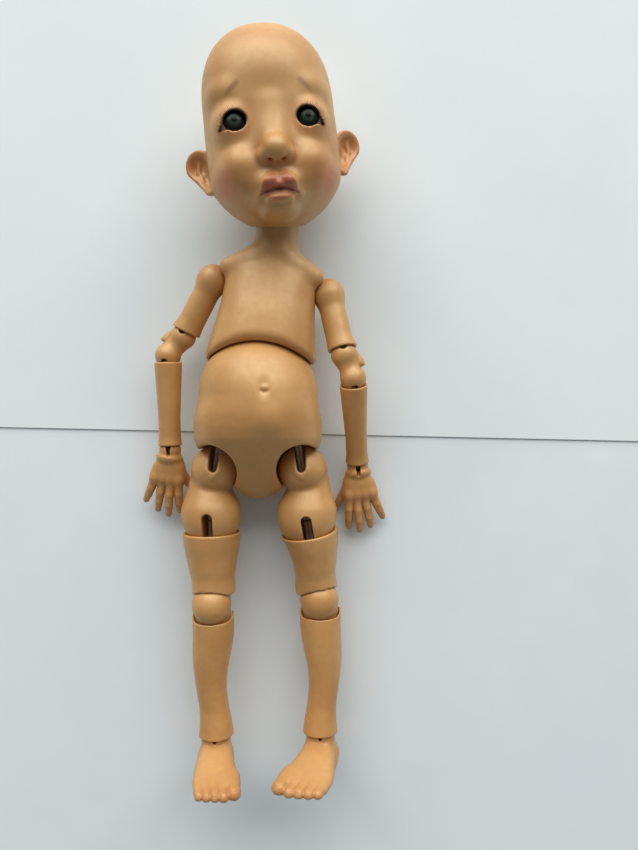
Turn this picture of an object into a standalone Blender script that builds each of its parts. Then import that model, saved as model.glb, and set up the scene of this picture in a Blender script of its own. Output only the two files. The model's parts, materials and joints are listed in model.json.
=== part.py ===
"""A ball jointed doll of cast resin, strung with elastic and lying on its back.

The crown of the head points along +Y, the doll's front faces +Z and its own left side is at +X.
Its back rests on Z = 0. Lengths are in metres, and angles are in degrees until they are used.
"""
import math

import bmesh
import bpy
from mathutils import Matrix, Vector

MM = 0.001
AXIS_X = Vector((1, 0, 0))
AXIS_Y = Vector((0, 1, 0))
AXIS_Z = Vector((0, 0, 1))
SIDES = {"right": -1, "left": 1}

# Facets around round pieces
TRUNK_SIDES = 22
BALL_SIDES = 16
LIMB_SIDES = 14
SMALL_SIDES = 10
FINGER_SIDES = 6
CORD_SIDES = 8
HOOK_SIDES = 6

# Clearances
FIT_GAP = 0.3 * MM
BALL_GAP = 0.35 * MM
SLOT_GAP = 0.47 * MM
CHANNEL_GAP = 0.6 * MM
MERGE_DISTANCE = 0.001 * MM
FLAT_ANGLE = 0.4
SHARP_ANGLE = 35
STEEP = 0.9
FACET_TURN = 5.0
OVERRUN = 3.0 * MM

# Elastic, steel and magnets
LEG_CORD_RADIUS = 1.3 * MM
ARM_CORD_RADIUS = 0.9 * MM
SPINE_CORD_RADIUS = 1.3 * MM
HOOK_WIRE_RADIUS = 0.5 * MM
HOOK_PIN_RADIUS = 0.7 * MM
HOOK_SWEEP = 290
BAR_RADIUS = 1.0 * MM
MAGNET_RADIUS = 1.1 * MM
MAGNET_THICKNESS = 1.0 * MM
MAGNET_BELOW_CROWN = 1.4 * MM

# Head
HEAD_HEIGHT = 69.0 * MM
CHIN_BELOW_CENTRE = 34.3 * MM
HEAD_HALF_WIDTH = 22.8 * MM
FACE_DEPTH = 24.5 * MM
SKULL_DEPTH = 26.0 * MM

# Places of the trunk's centres, measured from the table and the sheet's middle
CHEST_ACROSS = -17.6 * MM
CHEST_ALONG = 50.0 * MM
CHEST_ABOVE_TABLE = 15.5 * MM
WAIST_ACROSS = -21.9 * MM
WAIST_ALONG = 11.0 * MM
WAIST_ABOVE_TABLE = 17.5 * MM
HEAD_ACROSS = -17.8 * MM
HEAD_ALONG = 102.0 * MM
SKULL_ABOVE_TABLE = 0.15 * MM
CHEST_CENTRE = Vector((CHEST_ACROSS, CHEST_ALONG, CHEST_ABOVE_TABLE))
WAIST = Vector((WAIST_ACROSS, WAIST_ALONG, WAIST_ABOVE_TABLE))
HEAD_CENTRE = Vector((HEAD_ACROSS, HEAD_ALONG, SKULL_DEPTH + SKULL_ABOVE_TABLE))
CHEST_LEAN = 7.2
HEAD_LEAN = -6.5
HEAD_YAW = 6.0

# The shape of the head
HEAD_SECTION_POWER = 2.25
# Share of the height above the chin, of the half width, of the face's depth and of the skull's depth
HEAD_SHARES = (
    (0.000, 0.20, 0.52, -0.10),
    (0.022, 0.36, 0.72, 0.10),
    (0.060, 0.56, 0.80, 0.32),
    (0.130, 0.80, 0.86, 0.52),
    (0.200, 0.950, 0.88, 0.68),
    (0.290, 1.000, 0.89, 0.84),
    (0.410, 1.000, 0.91, 0.96),
    (0.530, 1.000, 0.97, 1.00),
    (0.645, 0.990, 1.00, 0.985),
    (0.760, 0.935, 0.94, 0.90),
    (0.860, 0.79, 0.79, 0.75),
    (0.935, 0.57, 0.56, 0.56),
    (0.980, 0.33, 0.31, 0.33),
    (1.000, 0.10, 0.08, 0.10),
)
HEAD_WALL = 3.4 * MM
CROWN_WALL = 6.0 * MM
HEAD_CAVITY_FLOOR = 13.5 * MM
CAP_DEPTH = 12.4 * MM
EAR_OUT = 26.0 * MM
EAR_BELOW = 8.8 * MM
EAR_BEHIND = 4.5 * MM
EAR_HALF_HEIGHT = 7.9 * MM
EAR_HALF_WIDTH = 5.2 * MM
EAR_HALF_THICKNESS = 2.3 * MM
EAR_SWEEP = 28.0
NOSE_BELOW = 16.2 * MM
NOSE_FORWARD = 22.6 * MM
NOSE_HALF_WIDTH = 3.6 * MM
NOSE_HALF_HEIGHT = 4.2 * MM
NOSE_REACH = 5.2 * MM
LIPS_BELOW = 27.2 * MM
LIPS_FORWARD = 18.6 * MM
LIPS_HALF_WIDTH = 5.4 * MM
LIPS_HALF_HEIGHT = 3.0 * MM
LIPS_REACH = 4.4 * MM

# Eyes
EYE_RADIUS = 6.0 * MM
EYE_OUT = 11.8 * MM
EYE_BELOW = 4.6 * MM
EYE_FORWARD = 15.2 * MM
EYE_BACK = 1.5 * MM
EYE_OPENING_HALF_WIDTH = 4.9 * MM
EYE_OPENING_HALF_HEIGHT = 3.7 * MM

# Neck
NECK_UP = 24.5 * MM
NECK_FORWARD = 5.0 * MM
NECK_BALL_RADIUS = 8.3 * MM
NECK_CONE_RADIUS = 5.2 * MM
NECK_ROOM_BELOW = 12.0 * MM
NECK_ROOM_SPREAD = 3.0 * MM
HEAD_ELASTIC_LENGTH = 5.0 * MM
NECK_HOOK_LENGTH = 4.9 * MM
HEAD_BAR_RADIUS = 1.0 * MM
HOOK_HOLE_RADIUS = 3.6 * MM

# Chest
CHEST_POWER = 2.35
CHEST_HALF_WIDTH = 19.8 * MM
CHEST_FRONT = 19.0 * MM
CHEST_BACK = 17.0 * MM
CHEST_LENGTH = 31.0 * MM
# Share of the length above the shoulder line, of the half width, of the front's and of the back's depth
CHEST_SHARES = (
    (0.790, 0.350, 0.560, 0.020),
    (0.600, 0.390, 0.580, 0.150),
    (0.440, 0.445, 0.575, 0.330),
    (0.330, 0.610, 0.575, 0.500),
    (0.220, 0.765, 0.600, 0.640),
    (0.100, 0.835, 0.650, 0.780),
    (-0.100, 0.850, 0.740, 0.900),
    (-0.330, 0.880, 0.850, 0.960),
    (-0.600, 0.945, 0.930, 0.970),
    (-0.800, 1.000, 0.985, 0.970),
    (-1.000, 1.030, 1.030, 0.950),
)
RIB_ARCH_RADIUS = 28.4 * MM
RIB_ARCH_BELOW_WAIST = 10.3 * MM
CHEST_CAVITY_HALF_WIDTH = 11.5 * MM
CHEST_CAVITY_HALF_LENGTH = 14.5 * MM
CHEST_CAVITY_HALF_DEPTH = 10.5 * MM
CHEST_CAVITY_BELOW = 10.5 * MM
SHOULDER_OUT = 21.8 * MM

# Pelvis
PELVIS_POWER = 2.35
DOME_TOP_SHARE = 0.92
BELLY_RADIUS = 21.5 * MM
BELLY_CUP_GAP = 0.45 * MM
BELLY_WALL = 3.2 * MM
PELVIS_HALF_WIDTH = 22.9 * MM
PELVIS_FRONT = 21.5 * MM
PELVIS_BACK = 19.0 * MM
PELVIS_LENGTH = 37.5 * MM
# Share of the length below the waist, of the half width, of the front's and of the back's depth
PELVIS_SHARES = (
    (0.140, 0.965, 1.000, 0.97),
    (0.280, 1.000, 0.985, 0.97),
    (0.400, 1.000, 0.930, 0.97),
    (0.500, 0.960, 0.820, 0.93),
    (0.600, 0.860, 0.680, 0.86),
    (0.720, 0.680, 0.500, 0.72),
    (0.840, 0.480, 0.350, 0.52),
    (0.940, 0.300, 0.200, 0.30),
    (1.000, 0.120, 0.070, 0.12),
)
WAIST_HOLE_RADIUS = 8.0 * MM
WAIST_ELASTIC_LENGTH = 3.2 * MM
BAR_BELOW_WAIST = 11.1 * MM
BAR_HALF_LENGTH = 17.6 * MM

# Legs
HIP_OUT = 15.7 * MM
HIP_BELOW_WAIST = 27.1 * MM
HIP_BACK = 1.5 * MM
HIP_CORD_LEAN = 9.0
HIP_BALL_RADIUS = 8.8 * MM
UPPER_THIGH_LENGTH = 17.7 * MM
UPPER_THIGH_WAIST = 6.4 * MM
THIGH_WAIST_SHARE = 0.55
THIGH_BALL_RADIUS = 10.8 * MM
THIGH_RIM_BELOW = 5.6 * MM
THIGH_SLOT_BEYOND = 20.0
LOWER_THIGH_LENGTH = 31.2 * MM
LOWER_THIGH_HALF_WIDTH = 10.6 * MM
# Share of the length and of the half width
LOWER_THIGH_SHARES = ((0.00, 1.00), (0.18, 0.965), (0.36, 0.905), (0.58, 0.845), (0.78, 0.795), (1.00, 0.795))
KNEE_BALL_RADIUS = 7.6 * MM
KNEE_SPACING = 4.6 * MM
KNEE_RIM = 3.4 * MM
SHIN_LENGTH = 46.6 * MM
SHIN_HALF_WIDTH = 7.5 * MM
SHIN_SHARES = (
    (0.000, 1.02), (0.10, 1.000), (0.22, 0.975), (0.36, 0.930), (0.50, 0.855), (0.64, 0.770),
    (0.76, 0.735), (0.88, 0.780), (1.00, 0.850),
)
ANKLE_BALL_RADIUS = 5.1 * MM
ANKLE_RIM = 1.9 * MM

# Feet
ANKLE_HEIGHT = 10.8 * MM
FOOT_LENGTH = 27.5 * MM
FOOT_HALF_WIDTH = 7.7 * MM
# Share of the length in front of the ankle, of the half width and of the ankle's height
FOOT_SHARES = (
    (-0.320, 0.40, 0.40),
    (-0.295, 0.60, 0.62),
    (-0.200, 0.76, 0.86),
    (-0.050, 0.80, 0.98),
    (0.110, 0.79, 0.98),
    (0.280, 0.82, 0.84),
    (0.450, 0.90, 0.66),
    (0.620, 0.985, 0.51),
    (0.760, 1.000, 0.41),
    (0.860, 0.930, 0.33),
)
FOOT_TOP_SHARE = 0.62
FOOT_POWER = 2.3
INSTEP_DEPTH_SHARE = 0.70
INSTEP_TOP_SHARE = 0.93
INSTEP_FOOT_SHARE = 1.1
TOE_HEIGHT_SHARE = 0.96
TOE_START_SHARE = 0.74
# Share of the foot's half width across, of its length in front, and radius share, from the big toe out
TOE_SHARES = (
    (-0.690, 1.000, 0.300),
    (-0.245, 0.985, 0.215),
    (0.110, 0.945, 0.205),
    (0.445, 0.895, 0.195),
    (0.755, 0.835, 0.185),
)

# Arms
SHOULDER_BALL_RADIUS = 6.2 * MM
UPPER_ARM_LENGTH = 23.1 * MM
UPPER_ARM_HALF_WIDTH = 5.2 * MM
UPPER_ARM_SHARES = ((0.00, 0.84), (0.25, 0.96), (0.50, 0.98), (0.75, 0.97), (1.00, 1.04))
ELBOW_BALL_RADIUS = 4.7 * MM
ELBOW_SPACING = 8.9 * MM
ELBOW_STEM_RADIUS = 3.6 * MM
ELBOW_RIM = 2.3 * MM
FOREARM_LENGTH = 35.0 * MM
FOREARM_HALF_WIDTH = 5.2 * MM
FOREARM_SHARES = ((0.00, 0.98), (0.20, 0.93), (0.45, 0.86), (0.70, 0.80), (0.88, 0.80), (1.00, 0.86))
WRIST_BALL_RADIUS = 4.0 * MM
WRIST_RIM = 1.7 * MM

# Hands
PALM_LENGTH = 12.5 * MM
PALM_HALF_WIDTH = 6.6 * MM
PALM_HALF_THICKNESS = 2.9 * MM
PALM_SHARES = (
    (0.16, 0.46, 0.90), (0.30, 0.56, 1.00), (0.50, 0.84, 1.00), (0.74, 1.000, 0.92), (0.92, 0.98, 0.78),
    (1.04, 0.82, 0.50),
)
FINGER_RADIUS = 1.55 * MM
FINGER_LENGTH = 13.6 * MM
# Share of the palm's half width across, of the finger's length, spread in degrees and curl in degrees,
# from the index finger to the little finger
FINGER_SHARES = ((-0.68, 0.94, -9, 10), (-0.23, 1.00, -2, 8), (0.24, 0.95, 6, 10), (0.68, 0.78, 17, 16))
FINGER_ROOT_SHARE = 0.90
PALM_POWER = 2.4
THUMB_START_SHARE = 0.42
THUMB_ACROSS_SHARE = 0.45
THUMB_LENGTH_SHARE = 0.86
THUMB_RADIUS_SHARE = 1.1
THUMB_SPREAD = 37.0
THUMB_CURL = 24.0
# Share of the length and of the radius along a finger or a toe
FINGER_OUTLINE_SHARES = ((0.00, 0.90), (0.30, 1.00), (0.62, 0.92), (0.86, 0.78), (0.97, 0.46))

# The pose in the photograph: lean from straight down and rise towards the front, in degrees
POSE = {
    "right": {
        "upper_arm": (-28.5, -6.0), "elbow": (-38.7, 0.0), "forearm": (0.2, -5.0), "hand": (-7.7, -6.0),
        "upper_thigh": (-5.9, -5.0), "lower_thigh": (0.7, -1.0), "knee": (1.0, 0.0), "shin": (1.4, -1.2),
        "foot": 9.0,
    },
    "left": {
        "upper_arm": (12.7, 10.0), "elbow": (21.3, 0.0), "forearm": (4.2, -23.0), "hand": (6.2, -4.0),
        "upper_thigh": (5.2, -5.0), "lower_thigh": (8.8, -8.0), "knee": (5.0, 0.0), "shin": (-0.1, 3.4),
        "foot": -17.5,
    },
}
FOOT_PITCH = 5.0

# Joint ranges in degrees, from the photographed pose
NECK_TURN = (-35, 35)
NECK_NOD = (-10, 10)
NECK_TILT = (-8, 8)
CAP_LIFT = 12.0 * MM
WAIST_TWIST = (-12, 12)
WAIST_BEND = (-6, 10)
WAIST_SIDE = (-5, 5)
ARM_SWING = (-20, 90)
ARM_RAISE = (0, 75)
ELBOW_TURN = (0, 60)
ELBOW_BEND = (0, 60)
FOREARM_TURN = (-60, 60)
WRIST_TURN = (-60, 60)
WRIST_BEND = (-30, 40)
HIP_TURN = (-5, 40)
HIP_FLEX = (-5, 75)
THIGH_FLEX = (0, 60)
THIGH_TURN = (-30, 30)
KNEE_BEND = (0, 45)
SHIN_TURN = (-30, 30)
ANKLE_TURN = (-20, 20)
ANKLE_FLEX = (-35, 20)

RESIN = ("resin", (0.80, 0.49, 0.26), 0.55, 0.0)
ELASTIC = ("elastic", (0.85, 0.82, 0.76), 0.80, 0.0)
STEEL = ("steel", (0.62, 0.62, 0.64), 0.30, 1.0)
MAGNET = ("magnet", (0.70, 0.70, 0.72), 0.25, 1.0)
ACRYLIC = ("acrylic", (0.10, 0.12, 0.11), 0.08, 0.0)

JOINTS = []


def clear_scene():
    for item in list(bpy.data.objects):
        bpy.data.objects.remove(item, do_unlink=True)


def paint(item, finish):
    label, colour, roughness, metallic = finish
    material = bpy.data.materials.new(item.name + "_" + label)
    material.use_nodes = True
    shader = material.node_tree.nodes["Principled BSDF"]
    shader.inputs["Base Color"].default_value = (*colour, 1.0)
    shader.inputs["Roughness"].default_value = roughness
    shader.inputs["Metallic"].default_value = metallic
    material.diffuse_color = (*colour, 1.0)
    item.data.materials.clear()
    item.data.materials.append(material)


def finish_piece(item, name, pivot, finish):
    """Name a piece, put its origin on its joint and give it its material."""
    bm = bmesh.new()
    bm.from_mesh(item.data)
    bmesh.ops.dissolve_limit(bm, angle_limit=math.radians(FLAT_ANGLE), verts=bm.verts, edges=bm.edges)
    bm.to_mesh(item.data)
    bm.free()
    item.name = name
    item.data.name = name
    item.data.transform(Matrix.Translation(-pivot))
    item.location = pivot
    item.data.shade_smooth()
    item.data.set_sharp_from_angle(angle=math.radians(SHARP_ANGLE))
    paint(item, finish)
    return item


def shape_from(bm):
    bmesh.ops.recalc_face_normals(bm, faces=bm.faces)
    mesh = bpy.data.meshes.new("shape")
    bm.to_mesh(mesh)
    bm.free()
    item = bpy.data.objects.new("shape", mesh)
    bpy.context.scene.collection.objects.link(item)
    return item


def tidied(mesh):
    """Weld the slivers that a cut leaves."""
    bm = bmesh.new()
    bm.from_mesh(mesh)
    bmesh.ops.triangulate(bm, faces=bm.faces)
    bmesh.ops.remove_doubles(bm, verts=bm.verts, dist=MERGE_DISTANCE)
    bmesh.ops.dissolve_degenerate(bm, edges=bm.edges, dist=MERGE_DISTANCE)
    bm.to_mesh(mesh)
    bm.free()
    return mesh


def combine(item, others, operation):
    """Union or difference with each of the other shapes, which are used up."""
    for other in others:
        cut = item.modifiers.new("combine", "BOOLEAN")
        cut.operation = operation
        cut.solver = "EXACT"
        cut.object = other
        graph = bpy.context.evaluated_depsgraph_get()
        mesh = bpy.data.meshes.new_from_object(item.evaluated_get(graph))
        item.modifiers.clear()
        item.data = tidied(mesh)
        bpy.data.objects.remove(other, do_unlink=True)
    return item


def join(item, *others):
    return combine(item, others, "UNION")


def cut(item, *others):
    return combine(item, others, "DIFFERENCE")


def duplicate(item):
    copy = bpy.data.objects.new("shape", item.data.copy())
    bpy.context.scene.collection.objects.link(copy)
    return copy


def frame_along(origin, along, front=AXIS_Z):
    """A frame with its Z along a limb and its Y towards the front of it."""
    z = along.normalized()
    x = front.cross(z).normalized()
    y = z.cross(x)
    return Matrix.Translation(origin) @ Matrix((x, y, z)).transposed().to_4x4()


def front_for(along):
    """A front that isn't close to the direction of a piece."""
    return AXIS_X if abs(along.normalized().z) > STEEP else AXIS_Z


def direction(lean, rise):
    lean = math.radians(lean)
    rise = math.radians(rise)
    return Vector((math.sin(lean) * math.cos(rise), -math.cos(lean) * math.cos(rise), math.sin(rise)))


def oval(frame, height, half_width, front, back, sides, power=2.0):
    """The points of one ring, at a height along the frame's Z."""
    points = []
    for i in range(sides):
        angle = 2 * math.pi * i / sides
        across = math.copysign(abs(math.cos(angle)) ** (2 / power), math.cos(angle))
        forward = math.copysign(abs(math.sin(angle)) ** (2 / power), math.sin(angle))
        depth = front if forward > 0 else back
        points.append(frame @ Vector((across * half_width, forward * depth, height)))
    return points


def loft(rings):
    """A closed solid through rings of points, with a flat cap at each end."""
    bm = bmesh.new()
    loops = [[bm.verts.new(point) for point in ring] for ring in rings]
    sides = len(rings[0])
    for low, high in zip(loops, loops[1:]):
        for i in range(sides):
            j = (i + 1) % sides
            bm.faces.new((low[i], low[j], high[j], high[i]))
    bm.faces.new(list(reversed(loops[0])))
    bm.faces.new(loops[-1])
    return shape_from(bm)


def lathe(frame, outline, sides):
    """A turned solid about the frame's Z. The outline runs from pole to pole as heights and radii."""
    bm = bmesh.new()
    low = bm.verts.new(frame @ Vector((0, 0, outline[0][0])))
    high = bm.verts.new(frame @ Vector((0, 0, outline[-1][0])))
    loops = []
    for height, radius in outline[1:-1]:
        loops.append([bm.verts.new(point) for point in oval(frame, height, radius, radius, radius, sides)])
    for i in range(sides):
        j = (i + 1) % sides
        bm.faces.new((low, loops[0][j], loops[0][i]))
        bm.faces.new((high, loops[-1][i], loops[-1][j]))
        for near, far in zip(loops, loops[1:]):
            bm.faces.new((near[i], near[j], far[j], far[i]))
    return shape_from(bm)


def double_ball(start, end, first, last, waist, sides):
    """Two balls on one axis with a waist between them, turned in one outline."""
    span = (end - start).length
    steps = sides // 2
    arc = [(-math.cos(math.pi * i / steps), math.sin(math.pi * i / steps)) for i in range(steps + 1)]
    heights = [first * c for c, _ in arc if first * c < span / 2]
    heights += [span + last * c for c, _ in arc if last * c > -span / 2]
    meeting = (span * span + first * first - last * last) / (2 * span)
    if first + last > span:
        heights.append(meeting)
    outline = []
    for height in sorted(heights):
        low = math.sqrt(max(0, first * first - height * height))
        high = math.sqrt(max(0, last * last - (height - span) ** 2))
        middle = waist if 0 < height < span else 0
        outline.append((height, max(low, high, middle)))
    frame = frame_along(start, end - start) @ Matrix.Rotation(math.radians(FACET_TURN), 4, "Z")
    return lathe(frame, outline, sides)


def ball(centre, radius, sides=BALL_SIDES, along=AXIS_Z):
    bm = bmesh.new()
    matrix = frame_along(centre, along, front_for(along))
    bmesh.ops.create_uvsphere(bm, u_segments=sides, v_segments=sides // 2, radius=radius, matrix=matrix)
    return shape_from(bm)


def cup_cutter(centre, radius, gap, sides=BALL_SIDES, along=AXIS_Z):
    """A ball that leaves the gap even at the middle of its flat facets."""
    return ball(centre, (radius + gap) / math.cos(math.pi / sides), sides, along)


def ellipsoid(frame, half_x, half_y, half_z, sides=SMALL_SIDES):
    bm = bmesh.new()
    matrix = frame @ Matrix.Diagonal((half_x, half_y, half_z, 1))
    bmesh.ops.create_uvsphere(bm, u_segments=sides, v_segments=sides // 2, radius=1, matrix=matrix)
    return shape_from(bm)


def rod(start, end, radius, end_radius=None, sides=CORD_SIDES):
    span = end - start
    frame = frame_along(start, span, front_for(span))
    last = radius if end_radius is None else end_radius
    rings = [
        oval(frame, 0, radius, radius, radius, sides),
        oval(frame, span.length, last, last, last, sides),
    ]
    return loft(rings)


def block(frame, low, high):
    """A box in a frame, between two opposite corners."""
    bm = bmesh.new()
    size = high - low
    matrix = frame @ Matrix.Translation((low + high) / 2) @ Matrix.Diagonal((*size, 1))
    bmesh.ops.create_cube(bm, size=1, matrix=matrix)
    return shape_from(bm)


def turned(vector, axis, degrees):
    return Matrix.Rotation(math.radians(degrees), 3, axis) @ vector


def slot(centre, first, axis, low, high, half_width, reach):
    """The space that a cord sweeps about a pivot: a fan with rounded heart, flat on both sides.

    The cord points along first at angle 0 and swings about the axis from low to high degrees."""
    steps = max(2, int(abs(high - low) / 15) + 1)
    spread = [low + (high - low) * i / steps for i in range(steps + 1)]
    outline = [turned(first, axis, angle) * reach for angle in spread]
    outline.insert(0, outline[0] + turned(first, axis, low - 90) * half_width)
    outline.append(outline[-1] + turned(first, axis, high + 90) * half_width)
    heart = 6
    for i in range(heart + 1):
        angle = high + 90 + (low - 90 + 360 - high - 90) * i / heart
        outline.append(turned(first, axis, angle) * half_width)
    bm = bmesh.new()
    side = axis.normalized() * half_width
    near = [bm.verts.new(centre + point - side) for point in outline]
    far = [bm.verts.new(centre + point + side) for point in outline]
    count = len(outline)
    for i in range(count):
        j = (i + 1) % count
        bm.faces.new((near[i], near[j], far[j], far[i]))
    bm.faces.new(list(reversed(near)))
    bm.faces.new(far)
    return shape_from(bm)


def cord(start, pivot, radius, clear=None):
    """A stretch of elastic with a round end on its pivot. It stops short of the round end of the last one."""
    span = pivot - start
    stop = radius + FIT_GAP if clear is None else clear
    steps = CORD_SIDES // 2
    outline = [(stop, 0), (stop, radius)]
    for i in range(steps + 1):
        angle = math.pi / 2 * i / steps
        outline.append((span.length + radius * math.sin(angle), radius * math.cos(angle)))
    return lathe(frame_along(start, span, front_for(span)), outline, CORD_SIDES)


def swept_ball(centre, arm, axis, low, high, radius):
    """The space that a ball on the end of an arm sweeps about an axis, with flat ends beyond its limits."""
    steps = 12
    beyond = math.degrees(math.asin(radius / arm.length))
    radius = radius / math.cos(math.pi / SMALL_SIDES) / math.cos(math.pi / 2 / steps)
    rings = []
    for i in range(steps + 1):
        out = turned(arm.normalized(), axis, low - beyond + (high - low + 2 * beyond) * i / steps)
        middle = centre + out * arm.length
        ring = []
        for k in range(SMALL_SIDES):
            angle = 2 * math.pi * k / SMALL_SIDES
            ring.append(middle + out * (radius * math.cos(angle)) + axis * (radius * math.sin(angle)))
        rings.append(ring)
    return loft(rings)


def hinge(name, parent, child, pivot, axis, limits):
    JOINTS.append({
        "name": name, "type": "hinge", "parent": parent, "child": child,
        "pos": pivot.copy(), "axis": axis.normalized(), "range": limits,
    })


def slide(name, parent, child, axis, reach):
    JOINTS.append({
        "name": name, "type": "slide", "parent": parent, "child": child,
        "axis": axis.normalized(), "range": (0.0, reach),
    })


def tube_limb(start, end, half_width, shares, first, last):
    """The outside of a limb along the line between its pivots, between two heights."""
    frame = frame_along(start, end - start)
    rings = []
    for share, width in shares:
        height = first + (last - first) * share
        radius = half_width * width
        rings.append(oval(frame, height, radius, radius, radius, LIMB_SIDES))
    return loft(rings)


def head_frame():
    turn = Matrix.Rotation(math.radians(-HEAD_LEAN), 4, "Z")
    return Matrix.Translation(HEAD_CENTRE) @ turn @ Matrix.Rotation(math.radians(HEAD_YAW), 4, "Y")


def chest_frame():
    turn = Matrix.Rotation(math.radians(-CHEST_LEAN), 4, "Z")
    return Matrix.Translation(CHEST_CENTRE) @ turn


def stacked(frame, rings, sides):
    """A loft of ovals stacked along the frame's Y: height, half width, front and back depth, and power."""
    upright = frame @ Matrix.Rotation(math.radians(-90), 4, "X") @ Matrix.Diagonal((1, -1, 1, 1))
    return loft([oval(upright, height, width, front, back, sides, power)
                 for height, width, front, back, power in rings])


def neck_pivot():
    return chest_frame() @ Vector((0, NECK_UP, NECK_FORWARD))


def shoulder(side):
    return chest_frame() @ Vector((SIDES[side] * SHOULDER_OUT, 0, 0))


def hip(side):
    return WAIST + Vector((SIDES[side] * HIP_OUT, -HIP_BELOW_WAIST, -HIP_BACK))


def make_head():
    frame = head_frame()
    rings = []
    for height, width, face, skull in HEAD_SHARES:
        rings.append((height * HEAD_HEIGHT - CHIN_BELOW_CENTRE, width * HEAD_HALF_WIDTH,
                      face * FACE_DEPTH, skull * SKULL_DEPTH, HEAD_SECTION_POWER))
    shell = stacked(frame, rings, TRUNK_SIDES)
    crown = HEAD_HEIGHT - CHIN_BELOW_CENTRE - CROWN_WALL
    floor = HEAD_CAVITY_FLOOR + neck_height_in_head()
    middle = Vector((0, (crown + floor) / 2, (FACE_DEPTH - SKULL_DEPTH) / 2))
    hollow = ellipsoid(frame @ Matrix.Translation(middle), HEAD_HALF_WIDTH - HEAD_WALL, (crown - floor) / 2,
                       (FACE_DEPTH + SKULL_DEPTH) / 2 - HEAD_WALL, BALL_SIDES)
    cut(shell, hollow)
    seam = CAP_DEPTH - SKULL_DEPTH
    magnets = []
    for name, height in (("top", crown - MAGNET_BELOW_CROWN), ("low", floor)):
        magnets.append((name, frame @ Vector((0, height, seam))))
    back = frame.to_3x3() @ -AXIS_Z
    for _, place in magnets:
        reach = back * (MAGNET_THICKNESS + 2 * FIT_GAP)
        cut(shell, rod(place - reach, place + reach, MAGNET_RADIUS + FIT_GAP, sides=CORD_SIDES))
    wide = HEAD_HEIGHT
    cap = duplicate(shell)
    cut(cap, block(frame, Vector((-wide, -wide, seam - FIT_GAP / 2)), Vector((wide, wide, wide))))
    cut(shell, block(frame, Vector((-wide, -wide, -wide)), Vector((wide, wide, seam + FIT_GAP / 2))))

    for sign in SIDES.values():
        place = Matrix.Translation((sign * EAR_OUT, -EAR_BELOW, -EAR_BEHIND))
        sweep = Matrix.Rotation(math.radians(sign * EAR_SWEEP), 4, "Y")
        join(shell, ellipsoid(frame @ place @ sweep, EAR_HALF_WIDTH, EAR_HALF_HEIGHT, EAR_HALF_THICKNESS))
    nose = Matrix.Translation((0, -NOSE_BELOW, NOSE_FORWARD))
    join(shell, ellipsoid(frame @ nose, NOSE_HALF_WIDTH, NOSE_HALF_HEIGHT, NOSE_REACH, CORD_SIDES))
    lips = Matrix.Translation((0, -LIPS_BELOW, LIPS_FORWARD))
    join(shell, ellipsoid(frame @ lips, LIPS_HALF_WIDTH, LIPS_HALF_HEIGHT, LIPS_REACH, CORD_SIDES))

    for sign in SIDES.values():
        centre = frame @ Vector((sign * EYE_OUT, -EYE_BELOW, EYE_FORWARD))
        cut(shell, cup_cutter(centre, EYE_RADIUS, FIT_GAP, SMALL_SIDES))
        opening = frame_along(centre, frame.to_3x3() @ AXIS_Z, frame.to_3x3() @ AXIS_Y)
        rings = [
            oval(opening, height, EYE_OPENING_HALF_WIDTH, EYE_OPENING_HALF_HEIGHT, EYE_OPENING_HALF_HEIGHT,
                 SMALL_SIDES)
            for height in (0, FACE_DEPTH)
        ]
        cut(shell, loft(rings))

    pivot = neck_pivot()
    up = frame.to_3x3() @ AXIS_Y
    cut(shell, cup_cutter(pivot, NECK_BALL_RADIUS, BALL_GAP, BALL_SIDES, up))
    cut(shell, rod(pivot, pivot + up * (HEAD_CAVITY_FLOOR + OVERRUN), HOOK_HOLE_RADIUS, sides=SMALL_SIDES))
    below = pivot - (pivot - CHEST_CENTRE).normalized() * NECK_ROOM_BELOW
    room = NECK_BALL_RADIUS + BALL_GAP
    cut(shell, rod(pivot, below, room, room + NECK_ROOM_SPREAD, BALL_SIDES))
    across = frame.to_3x3() @ AXIS_X
    bar = head_bar_centre()
    half = HOOK_HOLE_RADIUS + HEAD_BAR_RADIUS
    join(shell, rod(bar - across * half, bar + across * half, HEAD_BAR_RADIUS, sides=HOOK_SIDES))
    finish_piece(shell, "head", pivot, RESIN)
    finish_piece(cap, "head_cap", frame @ Vector((0, 0, seam)), RESIN)
    for name, place in magnets:
        for owner, sign in (("head", -1), ("cap", 1)):
            near = place + back * (sign * FIT_GAP)
            far = place + back * (sign * (FIT_GAP + MAGNET_THICKNESS))
            disc = rod(near, far, MAGNET_RADIUS, sides=CORD_SIDES)
            finish_piece(disc, owner + "_magnet_" + name, place, MAGNET)
    for side, sign in SIDES.items():
        centre = frame @ Vector((sign * EYE_OUT, -EYE_BELOW, EYE_FORWARD))
        eye = ball(centre, EYE_RADIUS, SMALL_SIDES)
        local = Matrix.Translation(centre) @ frame.to_3x3().to_4x4()
        cut(eye, block(local, Vector((-wide, -wide, -wide)), Vector((wide, wide, -EYE_BACK))))
        finish_piece(eye, "eye_" + side, centre, ACRYLIC)


def neck_height_in_head():
    return (head_frame().inverted() @ neck_pivot()).y


def head_bar_centre():
    up = head_frame().to_3x3() @ AXIS_Y
    reach = SPINE_CORD_RADIUS + FIT_GAP + HEAD_ELASTIC_LENGTH + NECK_HOOK_LENGTH
    return neck_pivot() + up * reach


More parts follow.
